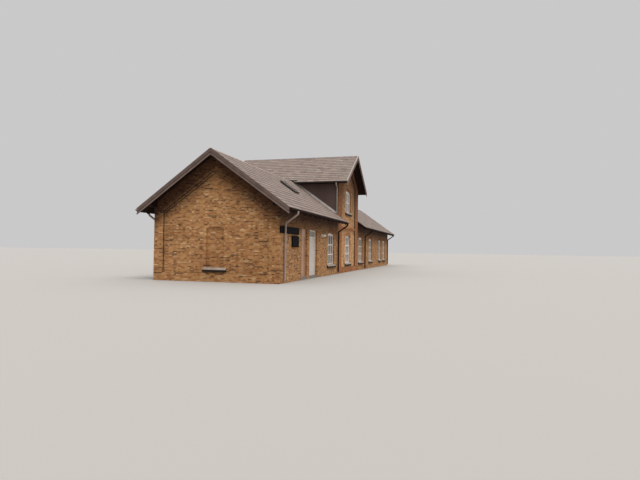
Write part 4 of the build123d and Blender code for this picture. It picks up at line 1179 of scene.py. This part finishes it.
# %% Wall boards and lamp
RIM, RIM_PROUD = 0.028, 0.006
LONG_BOARD = (x_near + 1.4, 2.54, 2.75, 0.34, 0.04)      # middle, level, width, height, depth
SMALL_BOARD = (x_near + 2.2, 2.01, 1.0, 0.56, 0.06)
bm = bmesh.new()
for middle, level, width, height, depth in (LONG_BOARD, SMALL_BOARD):
    face = y_front - depth
    add_rim(bm, (middle - width / 2, level - height / 2), (middle + width / 2, level + height / 2), RIM,
            (face - RIM_PROUD, face + SINK))
piece_from(bm, "board_rims", dark_enamel)

LAMP_RADIUS, LAMP_LENGTH, LAMP_PLATE = 0.06, 0.45, 0.03
CAP_LENGTH, CAP_OVER, CAP_IN = 0.05, 0.003, 0.02
lamp_low, lamp_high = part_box("wall_lamp")
lamp_cap = round_pattern(CAP_LENGTH, LAMP_RADIUS + CAP_OVER, 32)
bm = bmesh.new()
lamp_level = (lamp_low.z + lamp_high.z) / 2
for side in (-1, 1):
    x = (lamp_low.x + lamp_high.x) / 2 + side * (LAMP_LENGTH / 2 - CAP_IN)
    add_copies(bm, lamp_cap, [Matrix.Translation((x, y_front - LAMP_PLATE - LAMP_RADIUS, lamp_level))])
piece_from(bm, "lamp_end_caps", white_steel)

# %% [markdown]
# ## Roof hatch
#
# The CAD solid is the hatch's box and lid. A steel rim holds its pane, and two hinge leaves lie
# over the rim's upper edge. A rim is made upright, so a quarter turn lays it on the slope.

# %% Roof hatch
HATCH_ACROSS, HATCH_ALONG = 0.83, 1.17
HATCH_TOP = 0.12               # the lid's height over the slates
HATCH_FROM_RIDGE, HATCH_RIM, HATCH_RIM_PROUD, PANE_PROUD = 1.5, 0.06, 0.012, 0.004
HINGE_AT, HINGE_HALF, HINGE_THICK = 0.25, 0.05, 0.016
HINGE_ON_LID, HINGE_OVER, HINGE_DOWN = 0.01, 0.025, 0.02
hatch_low, hatch_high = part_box("roof_hatch")
hatch_level = wing_ridge - HATCH_FROM_RIDGE * math.tan(WING_PITCH)
on_lid = plane_at(((hatch_low.x + hatch_high.x) / 2, y_ridge - HATCH_FROM_RIDGE, hatch_level), (1, 0, 0),
                  (0, math.cos(WING_PITCH), math.sin(WING_PITCH)))
wide, long = HATCH_ACROSS / 2, HATCH_ALONG / 2
bm = bmesh.new()
add_rim(bm, (-wide, -long), (wide, long), HATCH_RIM, (HATCH_TOP - SINK, HATCH_TOP + HATCH_RIM_PROUD),
        on_lid @ QUARTER_X)
for x in (-HINGE_AT, HINGE_AT):
    add_box(bm, (x - HINGE_HALF, long - HINGE_ON_LID, HATCH_TOP - HINGE_DOWN),
            (x + HINGE_HALF, long + HINGE_OVER, HATCH_TOP + HINGE_THICK), on_lid)
piece_from(bm, "hatch_rim_and_hinges", hatch_metal)
bm = bmesh.new()
add_box(bm, (HATCH_RIM - wide, HATCH_RIM - long, HATCH_TOP - SINK),
        (wide - HATCH_RIM, long - HATCH_RIM, HATCH_TOP + PANE_PROUD), on_lid)
piece_from(bm, "hatch_pane", float_glass)

# %% [markdown]
# ## Door panels
#
# The white double door and the beige side door have pressed panels. A raised moulding round each
# panel is a rim of thin bars on the leaf. It rides on the leaf's own body, so it swings with it.

# %% Door panels
LEAF_THICK, MOULDING, MOULDING_PROUD = 0.046, 0.03, 0.008
STILE, RAIL, LOW_PANEL_TOP, HIGH_PANEL_FOOT = 0.13, 0.16, 0.78, 1.02
leaf_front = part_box("main_door_frame")[1].y - LEAF_THICK
for leaf, body, finish, slot in (("main_door_left_leaf", "main_door_left", white_steel, "white_door"),
                                 ("main_door_right_leaf", "main_door_right", white_steel, "white_door"),
                                 ("side_door_leaf", "side_door", beige_steel, "beige_paint")):
    low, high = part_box(leaf)
    bm = bmesh.new()
    for bottom, top in ((low.z + RAIL, low.z + LOW_PANEL_TOP), (low.z + HIGH_PANEL_FOOT, high.z - RAIL)):
        add_rim(bm, (low.x + STILE, bottom), (high.x - STILE, top), MOULDING,
                (leaf_front - MOULDING_PROUD, leaf_front + SINK))
    piece_from(bm, f"{leaf}_panels", finish, body)

# %% [markdown]
# ## Floor
#
# The building stands on a plain pale floor, which takes its shadow and isn't part of it. It lies
# 2 mm down, so that it never meets the foot of a wall in one plane.

# %% Floor
FLOOR_HALF, FLOOR_DOWN = 400, 0.002
pale_floor = bpy.data.materials.new("pale studio floor")
pale_floor.use_nodes = True
pale_floor.node_tree.nodes["Principled BSDF"].inputs["Base Color"].default_value = from_hex("#A8A49F")
pale_floor.node_tree.nodes["Principled BSDF"].inputs["Roughness"].default_value = 0.95
bm = bmesh.new()
bmesh.ops.create_grid(bm, x_segments=1, y_segments=1, size=FLOOR_HALF)
floor = bpy.data.objects.new("floor", mesh_from(bm, "floor"))
floor.data.materials.append(pale_floor)
bpy.context.scene.collection.objects.link(floor)
floor.location.z = -FLOOR_DOWN
print(floor.name, 2 * FLOOR_HALF, "m wide")

# %% [markdown]
# ## Sky and light
#
# The light is that of an overcast day. Most of it comes from straight above: one very wide sun
# does that, the world fills in, and a narrower sun gives the forms a side. The camera, gloss and
# glass see a pale backdrop of its own brightness, which Light Path tells from the filling light.

# %% Sky and light
world = bpy.data.worlds.new("overcast sky")
bpy.context.scene.world = world
world.use_nodes = True
tree = world.node_tree
tree.nodes.clear()
rays = add_node(tree, "ShaderNodeLightPath")
seen = add_node(tree, "ShaderNodeMath", {0: rays.outputs["Is Camera Ray"], 1: rays.outputs["Is Glossy Ray"]},
                operation="MAXIMUM")
shown = add_node(tree, "ShaderNodeMath", {0: seen.outputs[0], 1: rays.outputs["Is Transmission Ray"]},
                 operation="MAXIMUM")
filling = add_node(tree, "ShaderNodeBackground", {"Color": (1.0, 0.99, 0.97, 1), "Strength": 0.3})
backdrop = add_node(tree, "ShaderNodeBackground", {"Color": from_hex("#CAC9CA"), "Strength": 1.0})
mixed = add_node(tree, "ShaderNodeMixShader", {0: shown.outputs[0], 1: filling.outputs[0],
                                               2: backdrop.outputs[0]})
add_node(tree, "ShaderNodeOutputWorld", {0: mixed.outputs[0]})
for name, power, spread, shining in (("high cloud", 2.2, 110, (0, 0, -1)),
                                     ("bright cloud", 1.8, 35, (0.25, 0.33, -0.9))):
    lamp = bpy.data.lights.new(name, "SUN")
    lamp.energy = power
    lamp.angle = math.radians(spread)
    lamp_object = bpy.data.objects.new(name, lamp)
    bpy.context.scene.collection.objects.link(lamp_object)
    lamp_object.rotation_euler = Vector(shining).to_track_quat("-Z", "Y").to_euler()
print(len(bpy.data.lights), "suns")

# %% [markdown]
# ## Camera
#
# The camera stands about 21 m before the near gable, 1.6 m up, with a 28 mm lens. Its place, turns
# and focal length were fitted to the roof lines, wall corners and windows of the photograph. The
# view's own three directions are worked out from its turns and become the camera's axes.

# %% Camera
CAMERA_PLACE = (-38.9884, -11.9245, 1.5961)
YAW, PITCH, ROLL = 0.277, 0.0205, 0.0139
FOCAL_PIXELS, IMAGE_WIDTH, SENSOR = 492.709, 640, 36.0
ahead = Vector((math.cos(YAW), math.sin(YAW), 0))
side = Vector((math.sin(YAW), -math.cos(YAW), 0))
view = ahead * math.cos(PITCH) + Vector((0, 0, math.sin(PITCH)))
above = -ahead * math.sin(PITCH) + Vector((0, 0, math.cos(PITCH)))
right = side * math.cos(ROLL) + above * math.sin(ROLL)
up = -side * math.sin(ROLL) + above * math.cos(ROLL)
camera = bpy.data.objects.new("camera", bpy.data.cameras.new("camera"))
camera.data.sensor_width = SENSOR
camera.data.lens = FOCAL_PIXELS / IMAGE_WIDTH * SENSOR
camera.data.clip_end = 1000
camera.matrix_world = Matrix.Translation(CAMERA_PLACE) @ Matrix((right, up, -view)).transposed().to_4x4()
bpy.context.scene.collection.objects.link(camera)
bpy.context.scene.camera = camera
bpy.context.scene.view_settings.view_transform = "Standard"
print("lens", round(camera.data.lens, 1), "mm")
